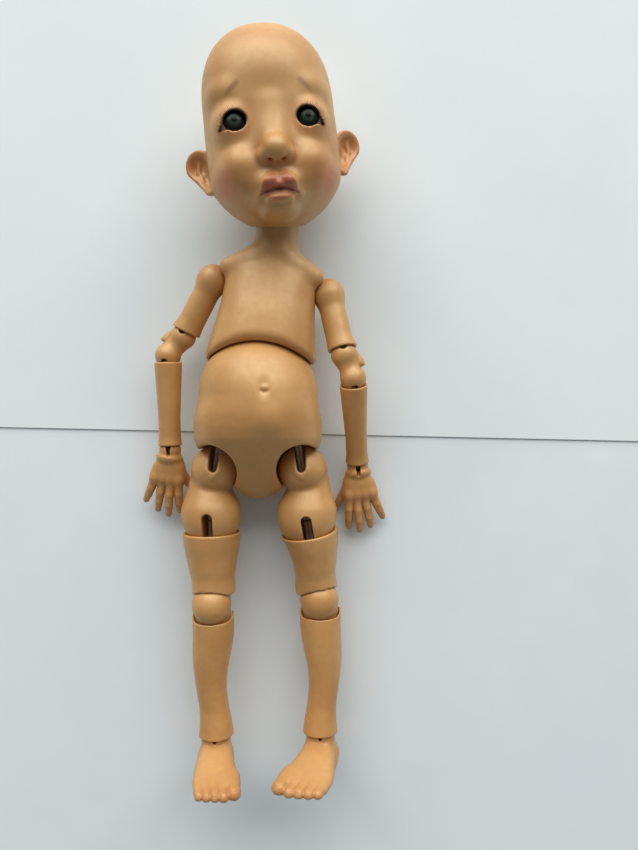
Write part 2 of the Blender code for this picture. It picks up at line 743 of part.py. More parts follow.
def make_neck():
    """The elastic that comes up the neck, the short stretch that nods and the hook on the head's bar."""
    pivot = neck_pivot()
    up = head_frame().to_3x3() @ AXIS_Y
    item = cord(CHEST_CENTRE, pivot, SPINE_CORD_RADIUS, ARM_CORD_RADIUS + FIT_GAP)
    finish_piece(item, "neck_elastic", pivot, ELASTIC)
    start = pivot + up * (SPINE_CORD_RADIUS + FIT_GAP)
    top = start + up * HEAD_ELASTIC_LENGTH
    finish_piece(rod(start, top, SPINE_CORD_RADIUS), "head_elastic", pivot, ELASTIC)
    bar = head_bar_centre()
    loop = HEAD_BAR_RADIUS + FIT_GAP + HOOK_WIRE_RADIUS
    hook = eye_hook(top + up * FIT_GAP, bar, loop, head_frame().to_3x3() @ AXIS_X)
    finish_piece(hook, "neck_hook", pivot, STEEL)
    hinge("neck_turn", "chest", "neck_elastic", pivot, pivot - CHEST_CENTRE, NECK_TURN)
    hinge("neck_nod", "neck_elastic", "head_elastic", pivot, AXIS_X, NECK_NOD)
    hinge("neck_tilt", "head_elastic", "head", pivot, AXIS_Z, NECK_TILT)
    slide("head_cap_lift", "head", "head_cap", head_frame().to_3x3() @ -AXIS_Z, CAP_LIFT)


def eye_hook(start, centre, loop_radius, axis):
    """A wire shank that ends in a ring around a pin, closed but for a small mouth."""
    shank = (start - centre).normalized()
    steps = 10
    rings = []
    for i in range(steps + 1):
        out = turned(shank, axis, HOOK_SWEEP * i / steps)
        middle = centre + out * loop_radius
        ring = []
        for k in range(HOOK_SIDES):
            angle = 2 * math.pi * k / HOOK_SIDES
            wire = out * math.cos(angle) + axis * math.sin(angle)
            ring.append(middle + wire * HOOK_WIRE_RADIUS)
        rings.append(ring)
    return join(loft(rings), rod(start, centre + shank * loop_radius, HOOK_WIRE_RADIUS, sides=HOOK_SIDES))


def make_chest():
    frame = chest_frame()
    rings = []
    for height, width, front, back in CHEST_SHARES:
        rings.append((height * CHEST_LENGTH, width * CHEST_HALF_WIDTH, front * CHEST_FRONT,
                      back * CHEST_BACK, CHEST_POWER))
    body = stacked(frame, rings, TRUNK_SIDES)
    pivot = neck_pivot()
    up = (pivot - CHEST_CENTRE).normalized()
    join(body, ball(pivot, NECK_BALL_RADIUS, BALL_SIDES, up))
    wide = CHEST_LENGTH * 3
    arch = WAIST + Vector((0, -RIB_ARCH_BELOW_WAIST, -WAIST.z))
    cut(body, rod(arch - AXIS_Z * OVERRUN * 2, arch + AXIS_Z * wide, RIB_ARCH_RADIUS, sides=2 * TRUNK_SIDES))
    cut(body, cup_cutter(WAIST, BELLY_RADIUS, BELLY_CUP_GAP, TRUNK_SIDES))
    hollow = frame @ Matrix.Translation((0, -CHEST_CAVITY_BELOW, 0))
    cut(body, ellipsoid(hollow, CHEST_CAVITY_HALF_WIDTH, CHEST_CAVITY_HALF_LENGTH, CHEST_CAVITY_HALF_DEPTH))
    cut(body, rod(CHEST_CENTRE, pivot, SPINE_CORD_RADIUS + CHANNEL_GAP))
    crown = head_frame().to_3x3() @ AXIS_Y
    cut(body, rod(pivot - crown * SPINE_CORD_RADIUS, pivot + crown * (NECK_BALL_RADIUS + OVERRUN),
                  SPINE_CORD_RADIUS + SLOT_GAP, NECK_CONE_RADIUS, SMALL_SIDES))
    for side in SIDES:
        place = shoulder(side)
        cut(body, cup_cutter(place, SHOULDER_BALL_RADIUS, BALL_GAP, BALL_SIDES, place - CHEST_CENTRE))
    cut(body, rod(shoulder("right"), shoulder("left"), ARM_CORD_RADIUS + CHANNEL_GAP))
    cut(body, block(Matrix(), Vector((-wide, -wide, -wide)), Vector((wide, wide, 0))))
    finish_piece(body, "chest", CHEST_CENTRE.copy(), RESIN)


def make_pelvis():
    rings = []
    steps = TRUNK_SIDES // 4
    for i in range(steps + 1):
        angle = math.pi / 2 * max(1 - i / steps, 0) * DOME_TOP_SHARE
        wide = BELLY_RADIUS * math.cos(angle)
        rings.append((BELLY_RADIUS * math.sin(angle), wide, wide, wide, 2.0))
    for height, width, front, back in PELVIS_SHARES:
        rings.append((-height * PELVIS_LENGTH, width * PELVIS_HALF_WIDTH, front * PELVIS_FRONT,
                      back * PELVIS_BACK, PELVIS_POWER))
    body = stacked(Matrix.Translation(WAIST), rings, TRUNK_SIDES)
    inner = BELLY_RADIUS - BELLY_WALL
    cut(body, ellipsoid(Matrix.Translation(WAIST), inner, inner, WAIST.z - BELLY_WALL, BALL_SIDES))
    spine = (CHEST_CENTRE - WAIST).normalized()
    cut(body, rod(WAIST, WAIST + spine * (BELLY_RADIUS + OVERRUN), WAIST_HOLE_RADIUS, sides=SMALL_SIDES))
    for side, sign in SIDES.items():
        place = hip(side)
        up = turned(AXIS_Y, AXIS_Z, sign * HIP_CORD_LEAN)
        cut(body, cup_cutter(place, HIP_BALL_RADIUS, BALL_GAP, BALL_SIDES, up))
        cut(body, rod(place, place + up * (HIP_BELOW_WAIST - BAR_BELOW_WAIST + OVERRUN),
                      LEG_CORD_RADIUS + CHANNEL_GAP))
        low = direction(*POSE[side]["upper_thigh"])
        flex_axis = low.cross(AXIS_Z).normalized()
        cut(body, swept_ball(place, low * UPPER_THIGH_LENGTH, flex_axis, HIP_FLEX[0], HIP_FLEX[1],
                             THIGH_BALL_RADIUS + 2 * BALL_GAP))
        cut(body, swept_ball(place, low * (UPPER_THIGH_LENGTH * THIGH_WAIST_SHARE), flex_axis, HIP_FLEX[0],
                             HIP_FLEX[1], UPPER_THIGH_WAIST + 2 * BALL_GAP))
    bar = bar_centre()
    cut(body, rod(bar - AXIS_X * (BAR_HALF_LENGTH + FIT_GAP), bar + AXIS_X * (BAR_HALF_LENGTH + FIT_GAP),
                  (BAR_RADIUS + FIT_GAP) / math.cos(math.pi / CORD_SIDES)))
    wide = CHEST_LENGTH * 3
    cut(body, block(Matrix(), Vector((-wide, -wide, -wide)), Vector((wide, wide, 0))))
    finish_piece(body, "pelvis", WAIST.copy(), RESIN)
    steel = rod(bar - AXIS_X * BAR_HALF_LENGTH, bar + AXIS_X * BAR_HALF_LENGTH, BAR_RADIUS)
    finish_piece(steel, "pelvis_bar", bar, STEEL)


def bar_centre():
    return WAIST - Vector((0, BAR_BELOW_WAIST, HIP_BACK))


def make_spine():
    """The elastic from the chest to the waist, the short stretch that bends and the stretch to the bar."""
    spine = (CHEST_CENTRE - WAIST).normalized()
    item = cord(CHEST_CENTRE, WAIST, SPINE_CORD_RADIUS, ARM_CORD_RADIUS + FIT_GAP)
    finish_piece(item, "spine_elastic", WAIST.copy(), ELASTIC)
    start = WAIST - spine * (SPINE_CORD_RADIUS + FIT_GAP)
    hinge("waist_twist", "chest", "spine_elastic", WAIST, spine, WAIST_TWIST)
    hinge("waist_bend", "spine_elastic", "waist_elastic", WAIST, AXIS_X, WAIST_BEND)
    hinge("waist_side_bend", "waist_elastic", "pelvis", WAIST, AXIS_Z, WAIST_SIDE)
    end = start - spine * WAIST_ELASTIC_LENGTH
    finish_piece(rod(start, end, SPINE_CORD_RADIUS), "waist_elastic", WAIST.copy(), ELASTIC)
    bar = bar_centre()
    down = (bar - end).normalized()
    item = rod(end + down * 2 * FIT_GAP, bar - down * (BAR_RADIUS + FIT_GAP), SPINE_CORD_RADIUS)
    finish_piece(item, "pelvis_elastic", bar, ELASTIC)


def make_arm(side):
    sign = SIDES[side]
    pose = POSE[side]
    start = shoulder(side)
    inward = (CHEST_CENTRE - start).normalized()
    upper = direction(*pose["upper_arm"])
    bend_one = start + upper * UPPER_ARM_LENGTH
    middle = direction(*pose["elbow"])
    bend_two = bend_one + middle * ELBOW_SPACING
    fore = direction(*pose["forearm"])
    wrist = bend_two + fore * FOREARM_LENGTH
    palm = direction(*pose["hand"])
    room = ARM_CORD_RADIUS + SLOT_GAP
    channel = ARM_CORD_RADIUS + CHANNEL_GAP
    front = AXIS_Z

    # The shoulder: the cord turns in the chest, and the arm lifts on its end
    half = cord(CHEST_CENTRE, start, ARM_CORD_RADIUS, FIT_GAP / 2)
    finish_piece(half, "shoulder_elastic_" + side, start, ELASTIC)
    lift = AXIS_Z * sign
    hinge("shoulder_swing_" + side, "chest", "shoulder_elastic_" + side, start, inward * sign, ARM_SWING)
    hinge("shoulder_raise_" + side, "shoulder_elastic_" + side, "upper_arm_" + side, start, lift, ARM_RAISE)

    arm = tube_limb(start, bend_one, UPPER_ARM_HALF_WIDTH, UPPER_ARM_SHARES, 0, UPPER_ARM_LENGTH - ELBOW_RIM)
    join(arm, ball(start, SHOULDER_BALL_RADIUS, BALL_SIDES, AXIS_Z))
    cut(arm, cup_cutter(bend_one, ELBOW_BALL_RADIUS, BALL_GAP, LIMB_SIDES, upper))
    cut(arm, slot(start, inward, lift, -ARM_RAISE[1], -ARM_RAISE[0], room, SHOULDER_BALL_RADIUS + OVERRUN))
    cut(arm, rod(start, bend_one, channel))
    finish_piece(arm, "upper_arm_" + side, start, RESIN)

    # The elbow: a double ball with a slot at each end
    hinge_axis = (upper + fore).cross(front).normalized()
    hinge("elbow_turn_" + side, "upper_arm_" + side, "upper_arm_elastic_" + side, bend_one, upper * sign,
          ELBOW_TURN)
    hinge("elbow_upper_" + side, "upper_arm_elastic_" + side, "elbow_" + side, bend_one, hinge_axis, ELBOW_BEND)
    low_limits = (-ELBOW_BEND[1], -ELBOW_BEND[0])
    hinge("elbow_lower_" + side, "elbow_" + side, "forearm_elastic_" + side, bend_two, -hinge_axis, low_limits)
    finish_piece(cord(start, bend_one, ARM_CORD_RADIUS), "upper_arm_elastic_" + side, bend_one, ELASTIC)
    piece = double_ball(bend_one, bend_two, ELBOW_BALL_RADIUS, ELBOW_BALL_RADIUS, ELBOW_STEM_RADIUS, LIMB_SIDES)
    reach = ELBOW_BALL_RADIUS + OVERRUN
    cut(piece, slot(bend_one, -upper, hinge_axis, -ELBOW_BEND[1], ELBOW_BEND[0], room, reach))
    cut(piece, slot(bend_two, fore, hinge_axis, ELBOW_BEND[0], ELBOW_BEND[1], room, reach))
    cut(piece, rod(bend_one, bend_two, channel))
    finish_piece(piece, "elbow_" + side, bend_one, RESIN)
    finish_piece(cord(bend_one, bend_two, ARM_CORD_RADIUS), "elbow_elastic_" + side, bend_one, ELASTIC)

    # The forearm turns about its own elastic
    tube = tube_limb(bend_two, wrist, FOREARM_HALF_WIDTH, FOREARM_SHARES, ELBOW_RIM, FOREARM_LENGTH - WRIST_RIM)
    cut(tube, cup_cutter(bend_two, ELBOW_BALL_RADIUS, BALL_GAP, LIMB_SIDES, fore))
    cut(tube, cup_cutter(wrist, WRIST_BALL_RADIUS, BALL_GAP, LIMB_SIDES, fore))
    cut(tube, rod(bend_two, wrist, channel))
    finish_piece(tube, "forearm_" + side, bend_two, RESIN)
    hook_length = WRIST_BALL_RADIUS + OVERRUN
    hook_top = wrist - fore * hook_length
    finish_piece(cord(bend_two, hook_top, ARM_CORD_RADIUS), "forearm_elastic_" + side, bend_two, ELASTIC)
    hinge("forearm_turn_" + side, "forearm_elastic_" + side, "forearm_" + side, bend_two, fore, FOREARM_TURN)

    # The wrist hook turns with the hand, which bends on it
    bend_axis = fore.cross(front).normalized()
    loop = HOOK_PIN_RADIUS + FIT_GAP + HOOK_WIRE_RADIUS
    top = hook_top + fore * (ARM_CORD_RADIUS + FIT_GAP)
    finish_piece(eye_hook(top, wrist, loop, bend_axis), "wrist_hook_" + side, wrist, STEEL)
    hinge("wrist_turn_" + side, "forearm_" + side, "wrist_hook_" + side, wrist, fore, WRIST_TURN)
    hinge("wrist_bend_" + side, "wrist_hook_" + side, "hand_" + side, wrist, bend_axis, WRIST_BEND)
    make_hand(side, wrist, palm, fore, bend_axis)


def finger(root, along, length, radius):
    """A tapered finger with a round tip."""
    frame = frame_along(root, along)
    rings = []
    for t, width in FINGER_OUTLINE_SHARES:
        rings.append(oval(frame, length * t, radius * width, radius * width, radius * width, FINGER_SIDES))
    return loft(rings)


def make_hand(side, wrist, palm, fore, bend_axis):
    sign = SIDES[side]
    frame = frame_along(wrist, palm)
    rings = []
    for t, width, thick in PALM_SHARES:
        rings.append(oval(frame, t * PALM_LENGTH, width * PALM_HALF_WIDTH, thick * PALM_HALF_THICKNESS,
                          thick * PALM_HALF_THICKNESS, SMALL_SIDES, PALM_POWER))
    hand = loft(rings)
    join(hand, ball(wrist, WRIST_BALL_RADIUS, LIMB_SIDES, palm))
    outward = frame.to_3x3() @ AXIS_X
    outward = outward if outward.x * sign > 0 else -outward
    back = frame.to_3x3() @ AXIS_Y
    for across, length, spread, curl in FINGER_SHARES:
        root = wrist + palm * (PALM_LENGTH * FINGER_ROOT_SHARE) + outward * (across * PALM_HALF_WIDTH)
        aim = turned(palm, back, spread * (1 if turned(palm, back, 1).dot(outward) > 0 else -1))
        aim = turned(aim, outward, curl * (1 if turned(palm, outward, 1).dot(back) < 0 else -1))
        join(hand, finger(root, aim, length * FINGER_LENGTH, FINGER_RADIUS))
    aside = PALM_HALF_WIDTH * THUMB_ACROSS_SHARE
    root = wrist + palm * (PALM_LENGTH * THUMB_START_SHARE) - outward * aside
    aim = turned(palm, back, THUMB_SPREAD * (-1 if turned(palm, back, 1).dot(outward) > 0 else 1))
    aim = turned(aim, outward, THUMB_CURL * (1 if turned(palm, outward, 1).dot(back) < 0 else -1))
    join(hand, finger(root, aim, THUMB_LENGTH_SHARE * FINGER_LENGTH, FINGER_RADIUS * THUMB_RADIUS_SHARE))
    half = HOOK_WIRE_RADIUS + FIT_GAP
    reach = WRIST_BALL_RADIUS + OVERRUN
    cut(hand, slot(wrist, -fore, bend_axis, -WRIST_BEND[1], -WRIST_BEND[0], half, reach))
    hollow = HOOK_PIN_RADIUS + 2 * FIT_GAP + 2 * HOOK_WIRE_RADIUS
    cut(hand, rod(wrist - bend_axis * half, wrist + bend_axis * half, hollow, sides=SMALL_SIDES))
    pin = HOOK_WIRE_RADIUS + FIT_GAP * 2
    join(hand, rod(wrist - bend_axis * pin, wrist + bend_axis * pin, HOOK_PIN_RADIUS, sides=HOOK_SIDES))
    finish_piece(hand, "hand_" + side, wrist, RESIN)


def make_leg(side):
    sign = SIDES[side]
    pose = POSE[side]
    start = hip(side)
    up = turned(AXIS_Y, AXIS_Z, sign * HIP_CORD_LEAN)
    upper = direction(*pose["upper_thigh"])
    thigh = start + upper * UPPER_THIGH_LENGTH
    lower = direction(*pose["lower_thigh"])
    bend_one = thigh + lower * LOWER_THIGH_LENGTH
    middle = direction(*pose["knee"])
    bend_two = bend_one + middle * KNEE_SPACING
    shank = direction(*pose["shin"])
    ankle = bend_two + shank * SHIN_LENGTH
    room = LEG_CORD_RADIUS + SLOT_GAP
    channel = LEG_CORD_RADIUS + CHANNEL_GAP
    front = AXIS_Z

    # The hip: the cord turns in the pelvis, and the thigh swings forward on its end
    bar = bar_centre()
    top = start + up * ((bar.y - start.y - LEG_CORD_RADIUS * abs(up.x)) / up.y)
    strand = cord(top, start, LEG_CORD_RADIUS, BAR_RADIUS + FIT_GAP)
    finish_piece(strand, "hip_elastic_" + side, start, ELASTIC)
    flex_axis = upper.cross(front).normalized()
    hinge("hip_turn_" + side, "pelvis", "hip_elastic_" + side, start, up * sign, HIP_TURN)
    hinge("hip_flex_" + side, "hip_elastic_" + side, "upper_thigh_" + side, start, flex_axis, HIP_FLEX)
    piece = double_ball(start, thigh, HIP_BALL_RADIUS, THIGH_BALL_RADIUS, UPPER_THIGH_WAIST, BALL_SIDES)
    cut(piece, slot(start, up, flex_axis, -HIP_FLEX[1], -HIP_FLEX[0], room, HIP_BALL_RADIUS + OVERRUN))
    cut(piece, rod(start, thigh, channel))
    thigh_axis = lower.cross(front).normalized()
    cut(piece, slot(thigh, lower, thigh_axis, THIGH_FLEX[0], THIGH_FLEX[1] + THIGH_SLOT_BEYOND, room,
                    THIGH_BALL_RADIUS + OVERRUN))
    finish_piece(piece, "upper_thigh_" + side, start, RESIN)
    finish_piece(cord(start, thigh, LEG_CORD_RADIUS), "upper_thigh_elastic_" + side, start, ELASTIC)

    # The lower thigh swings forward on the thigh ball and turns about its own elastic
    knee_axis = -(lower + shank).cross(front).normalized()
    thigh_limits = (-THIGH_FLEX[1], -THIGH_FLEX[0])
    hinge("thigh_flex_" + side, "upper_thigh_" + side, "lower_thigh_elastic_" + side, thigh, -thigh_axis,
          thigh_limits)
    hinge("thigh_turn_" + side, "lower_thigh_elastic_" + side, "lower_thigh_" + side, thigh, lower, THIGH_TURN)
    tube = tube_limb(thigh, bend_one, LOWER_THIGH_HALF_WIDTH, LOWER_THIGH_SHARES, THIGH_RIM_BELOW,
                     LOWER_THIGH_LENGTH - KNEE_RIM)
    cut(tube, cup_cutter(thigh, THIGH_BALL_RADIUS, BALL_GAP, BALL_SIDES, lower))
    cut(tube, cup_cutter(bend_one, KNEE_BALL_RADIUS, BALL_GAP, LIMB_SIDES, lower))
    cut(tube, rod(thigh, bend_one, channel))
    finish_piece(tube, "lower_thigh_" + side, thigh, RESIN)
    finish_piece(cord(thigh, bend_one, LEG_CORD_RADIUS), "lower_thigh_elastic_" + side, thigh, ELASTIC)

    # The knee: a double ball with a slot behind at each end
    hinge("knee_upper_" + side, "lower_thigh_" + side, "knee_" + side, bend_one, knee_axis, KNEE_BEND)
    knee_limits = (-KNEE_BEND[1], -KNEE_BEND[0])
    hinge("knee_lower_" + side, "knee_" + side, "shin_elastic_" + side, bend_two, -knee_axis, knee_limits)
    piece = double_ball(bend_one, bend_two, KNEE_BALL_RADIUS, KNEE_BALL_RADIUS, 0, LIMB_SIDES)
    reach = KNEE_BALL_RADIUS + OVERRUN
    cut(piece, slot(bend_one, -lower, knee_axis, -KNEE_BEND[1], KNEE_BEND[0], room, reach))
    cut(piece, slot(bend_two, shank, knee_axis, KNEE_BEND[0], KNEE_BEND[1], room, reach))
    cut(piece, rod(bend_one, bend_two, channel))
    finish_piece(piece, "knee_" + side, bend_one, RESIN)
    finish_piece(cord(bend_one, bend_two, LEG_CORD_RADIUS), "knee_elastic_" + side, bend_one, ELASTIC)

    # The shin turns about its own elastic and holds the foot by a hook
    tube = tube_limb(bend_two, ankle, SHIN_HALF_WIDTH, SHIN_SHARES, KNEE_RIM, SHIN_LENGTH - ANKLE_RIM)
    cut(tube, cup_cutter(bend_two, KNEE_BALL_RADIUS, BALL_GAP, LIMB_SIDES, shank))
    cut(tube, cup_cutter(ankle, ANKLE_BALL_RADIUS, BALL_GAP, LIMB_SIDES, shank))
    cut(tube, rod(bend_two, ankle, channel))
    finish_piece(tube, "shin_" + side, bend_two, RESIN)
    hook_top = ankle - shank * (ANKLE_BALL_RADIUS + OVERRUN)
    finish_piece(cord(bend_two, hook_top, LEG_CORD_RADIUS), "shin_elastic_" + side, bend_two, ELASTIC)
    hinge("shin_turn_" + side, "shin_elastic_" + side, "shin_" + side, bend_two, shank, SHIN_TURN)
    bend_axis = shank.cross(front).normalized()
    top = hook_top + shank * (LEG_CORD_RADIUS + FIT_GAP)
    loop = HOOK_PIN_RADIUS + FIT_GAP + HOOK_WIRE_RADIUS
    finish_piece(eye_hook(top, ankle, loop, bend_axis), "ankle_hook_" + side, ankle, STEEL)
    hinge("ankle_turn_" + side, "shin_" + side, "ankle_hook_" + side, ankle, shank, ANKLE_TURN)
    hinge("ankle_flex_" + side, "ankle_hook_" + side, "foot_" + side, ankle, bend_axis, ANKLE_FLEX)
    make_foot(side, ankle, shank, bend_axis)


def foot_frame(side, ankle):
    """A frame on the sole under the ankle: Z to the toes and Y up to the ankle."""
    toes = turned(AXIS_Z, AXIS_X, -FOOT_PITCH)
    toes = turned(toes, AXIS_Y, POSE[side]["foot"])
    up = (AXIS_Y - toes * toes.dot(AXIS_Y)).normalized()
    across = up.cross(toes)
    turn = Matrix((across, up, toes)).transposed().to_4x4()
    return Matrix.Translation(ankle - up * ANKLE_HEIGHT) @ turn


def make_foot(side, ankle, shank, bend_axis):
    sign = SIDES[side]
    frame = foot_frame(side, ankle)
    toes = frame.to_3x3() @ AXIS_Z
    up = frame.to_3x3() @ AXIS_Y
    rings = []
    for t, width, height in FOOT_SHARES:
        tall = height * ANKLE_HEIGHT
        ring = frame @ Matrix.Translation((0, tall * (1 - FOOT_TOP_SHARE), 0))
        rings.append(oval(ring, t * FOOT_LENGTH, width * FOOT_HALF_WIDTH, tall * FOOT_TOP_SHARE,
                          tall * FOOT_TOP_SHARE, SMALL_SIDES, FOOT_POWER))
    foot = loft(rings)
    instep = ankle - up * (ANKLE_HEIGHT * INSTEP_DEPTH_SHARE)
    join(foot, rod(ankle, instep, ANKLE_BALL_RADIUS * INSTEP_TOP_SHARE, ANKLE_BALL_RADIUS * INSTEP_FOOT_SHARE,
                   LIMB_SIDES))
    join(foot, ball(ankle, ANKLE_BALL_RADIUS, LIMB_SIDES, shank))
    for across, length, thick in TOE_SHARES:
        radius = thick * FOOT_HALF_WIDTH
        root = frame @ Vector((across * sign * FOOT_HALF_WIDTH, radius * TOE_HEIGHT_SHARE,
                              TOE_START_SHARE * FOOT_LENGTH))
        join(foot, finger(root, toes, (length - TOE_START_SHARE) * FOOT_LENGTH, radius))
    wide = FOOT_LENGTH * 2
    cut(foot, block(frame, Vector((-wide, -wide, -wide)), Vector((wide, 0, wide))))
    half = HOOK_WIRE_RADIUS + FIT_GAP
    reach = ANKLE_BALL_RADIUS + OVERRUN
    cut(foot, slot(ankle, -shank, bend_axis, -ANKLE_FLEX[1], -ANKLE_FLEX[0], half, reach))
    hollow = HOOK_PIN_RADIUS + 2 * FIT_GAP + 2 * HOOK_WIRE_RADIUS
    cut(foot, rod(ankle - bend_axis * half, ankle + bend_axis * half, hollow, sides=SMALL_SIDES))
    pin = HOOK_WIRE_RADIUS + FIT_GAP * 2
    join(foot, rod(ankle - bend_axis * pin, ankle + bend_axis * pin, HOOK_PIN_RADIUS, sides=HOOK_SIDES))
    finish_piece(foot, "foot_" + side, ankle, RESIN)


def centre_on_origin():
    """Hang every piece on one empty and set it so that the doll's box stands centred on the origin."""
    pieces = list(bpy.context.scene.objects)
    root = bpy.data.objects.new("doll", None)
    bpy.context.scene.collection.objects.link(root)
    low = Vector((math.inf,) * 3)
    high = Vector((-math.inf,) * 3)
    for piece in pieces:
        for vertex in piece.data.vertices:
            point = vertex.co + piece.location
            low = Vector(map(min, low, point))
            high = Vector(map(max, high, point))
        piece.parent = root
    root.location = (-(low.x + high.x) / 2, -(low.y + high.y) / 2, -low.z)
    return root


def main():
    clear_scene()
    make_head()
    make_neck()
    make_chest()
    make_pelvis()
    make_spine()
    for side in SIDES:
        make_arm(side)
        make_leg(side)
    root = centre_on_origin()
    print("doll placed at", tuple(round(value / MM, 3) for value in root.location))


main()
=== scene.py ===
# %% [markdown]
# # A ball jointed doll of cast resin, lying on two sheets of paper
# The doll is a set of hollow resin shells that meet in balls and cups. Elastic runs through all of them and
# pulls them together, so the doll holds any pose it is put in.
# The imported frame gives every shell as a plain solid. Here each one is carved again with the soft forms,
# rounded rims and painted details that the real casting shows, and it is put back in the same place.

import functools
import json
import math

import bpy
import numpy as np
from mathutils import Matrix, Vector

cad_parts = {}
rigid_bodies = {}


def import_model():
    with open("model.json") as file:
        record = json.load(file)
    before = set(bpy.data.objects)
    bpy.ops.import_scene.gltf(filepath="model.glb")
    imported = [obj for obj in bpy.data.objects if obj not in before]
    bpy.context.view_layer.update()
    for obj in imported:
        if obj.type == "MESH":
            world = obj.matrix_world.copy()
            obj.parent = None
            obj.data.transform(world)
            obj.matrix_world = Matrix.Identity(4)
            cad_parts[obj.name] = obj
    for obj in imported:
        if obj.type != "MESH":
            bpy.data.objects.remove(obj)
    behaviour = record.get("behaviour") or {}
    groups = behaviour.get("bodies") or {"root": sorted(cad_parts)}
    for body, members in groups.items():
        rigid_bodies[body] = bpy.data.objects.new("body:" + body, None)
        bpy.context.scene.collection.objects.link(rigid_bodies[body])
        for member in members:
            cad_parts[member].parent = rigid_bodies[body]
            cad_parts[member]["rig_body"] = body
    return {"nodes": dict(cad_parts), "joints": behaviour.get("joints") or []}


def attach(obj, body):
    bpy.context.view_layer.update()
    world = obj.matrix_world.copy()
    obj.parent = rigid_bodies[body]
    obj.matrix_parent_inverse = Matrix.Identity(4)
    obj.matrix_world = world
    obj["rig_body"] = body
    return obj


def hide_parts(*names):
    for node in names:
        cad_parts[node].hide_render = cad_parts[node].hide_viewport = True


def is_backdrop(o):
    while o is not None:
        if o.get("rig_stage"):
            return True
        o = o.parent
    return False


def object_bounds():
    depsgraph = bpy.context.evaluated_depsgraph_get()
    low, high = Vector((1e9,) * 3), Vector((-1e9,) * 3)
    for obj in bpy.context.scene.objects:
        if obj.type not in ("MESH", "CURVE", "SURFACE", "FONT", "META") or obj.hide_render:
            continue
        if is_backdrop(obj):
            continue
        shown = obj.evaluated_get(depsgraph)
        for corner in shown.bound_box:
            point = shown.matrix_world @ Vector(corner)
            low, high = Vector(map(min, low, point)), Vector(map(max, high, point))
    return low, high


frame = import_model()
cad_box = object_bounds()
MM = 0.001
joints = {joint["name"]: joint for joint in frame["joints"]}
SIDES = {"right": -1, "left": 1}

# %% [markdown]
# ## Where the pieces turn
# Every joint of the frame has a point and an axis, so no place has to be guessed: a limb runs from one point
# to the next. From here on lengths are in millimetres, because a doll is measured in millimetres.

# %% Pivots and directions
def pivot(name):
    return np.array(joints[name]["pos_m"]) / MM


def pivots(side, *names):
    return [pivot(name + "_" + side) for name in names]


def axis_of(name):
    return np.array(joints[name]["axis"], float)


def unit(vector):
    vector = np.array(vector, float)
    return vector / np.linalg.norm(vector)


WAIST = pivot("waist_twist")
NECK = pivot("neck_turn")
CHEST = (pivot("shoulder_swing_right") + pivot("shoulder_swing_left")) / 2
print("waist", WAIST.round(1), "neck", NECK.round(1), "chest", CHEST.round(1))


# %% [markdown]
# ## A frame for each piece
# A carver clamps each blank square to the bench. A `Place` does the same: an origin and three directions, with
# which points go from the doll's frame into the piece's own and back.

# %% The place of a piece
class Place:
    def __init__(self, origin, x, y, z):
        self.origin = np.array(origin, float)
        self.turn = np.array([unit(x), unit(y), unit(z)])

    def inside(self, points):
        return (np.array(points, float) - self.origin) @ self.turn.T

    def direction(self, vector):
        return np.array(vector, float) @ self.turn.T

    def outside(self, points):
        return np.array(points, float) @ self.turn + self.origin


def limb_place(start, along):
    """Z runs down the limb and Y faces the front of the doll."""
    z = unit(along)
    x = unit(np.cross((0, 0, 1), z))
    return Place(start, x, np.cross(z, x), z)


def limb_between(start, end):
    """The place of a limb that runs from one pivot to another, and its length."""
    return limb_place(start, end - start), np.linalg.norm(end - start)


# %% [markdown]
# ## Forms as distances
# Soft shapes are easiest to describe by how far a point is from them: negative inside, positive outside.
# Two forms melt into each other where the smaller distance is taken softly, as clay does under a thumb, and
# a cut is the same with the sign turned. That gives rounded rims and fillets without any bevel tool.

# %% Distance forms
def length_of(vectors):
    return np.sqrt(np.einsum("ij,ij->i", vectors, vectors))


def stacked(*columns):
    return np.stack(np.broadcast_arrays(*columns), 1)


def folded(p):
    """Every point taken to the half with x above zero, for features that come in pairs."""
    return stacked(np.abs(p[:, 0]), p[:, 1], p[:, 2])


def ramp(value, low, high):
    share = np.clip((value - low) / (high - low), 0, 1)
    return share * share * (3 - 2 * share)


def glow(distance, width):
    """One on a form, fading away from it."""
    return np.exp(-((np.maximum(distance, 0) / width) ** 2))


def melt(a, b, soft):
    share = np.clip(0.5 + 0.5 * (b - a) / soft, 0, 1)
    return b + (a - b) * share - soft * share * (1 - share)


def melted(forms, soft):
    return functools.reduce(lambda a, b: melt(a, b, soft), forms)


def carve_out(a, b, soft):
    return -melt(-a, b, soft)


def keep_in(a, b, soft):
    return -melt(-a, -b, soft)


def ball(p, centre, radius):
    return length_of(p - np.array(centre)) - radius


def egg(p, centre, radii, turn=None):
    q = p - np.array(centre)
    if turn is not None:
        q = q @ np.array(turn).T
    q = q / np.array(radii)
    near = length_of(q)
    slope = length_of(q / np.array(radii))
    return near * (near - 1) / np.maximum(slope, 1e-9)


def stick(p, start, end, radius, end_radius=None):
    start = np.array(start, float)
    span = np.array(end, float) - start
    q = p - start
    share = np.clip(q @ span / (span @ span), 0, 1)
    last = radius if end_radius is None else end_radius
    return length_of(q - share[:, None] * span) - (radius + (last - radius) * share)


def sticks(p, points, radii):
    ends = zip(points, points[1:], radii, radii[1:])
    return np.minimum.reduce([stick(p, *pair) for pair in ends])


def bored(d, p, span, radius, soft):
    """A limb's form with the channel for its cord."""
    return carve_out(d, stick(p, (0, 0, 0), (0, 0, span), radius), soft)


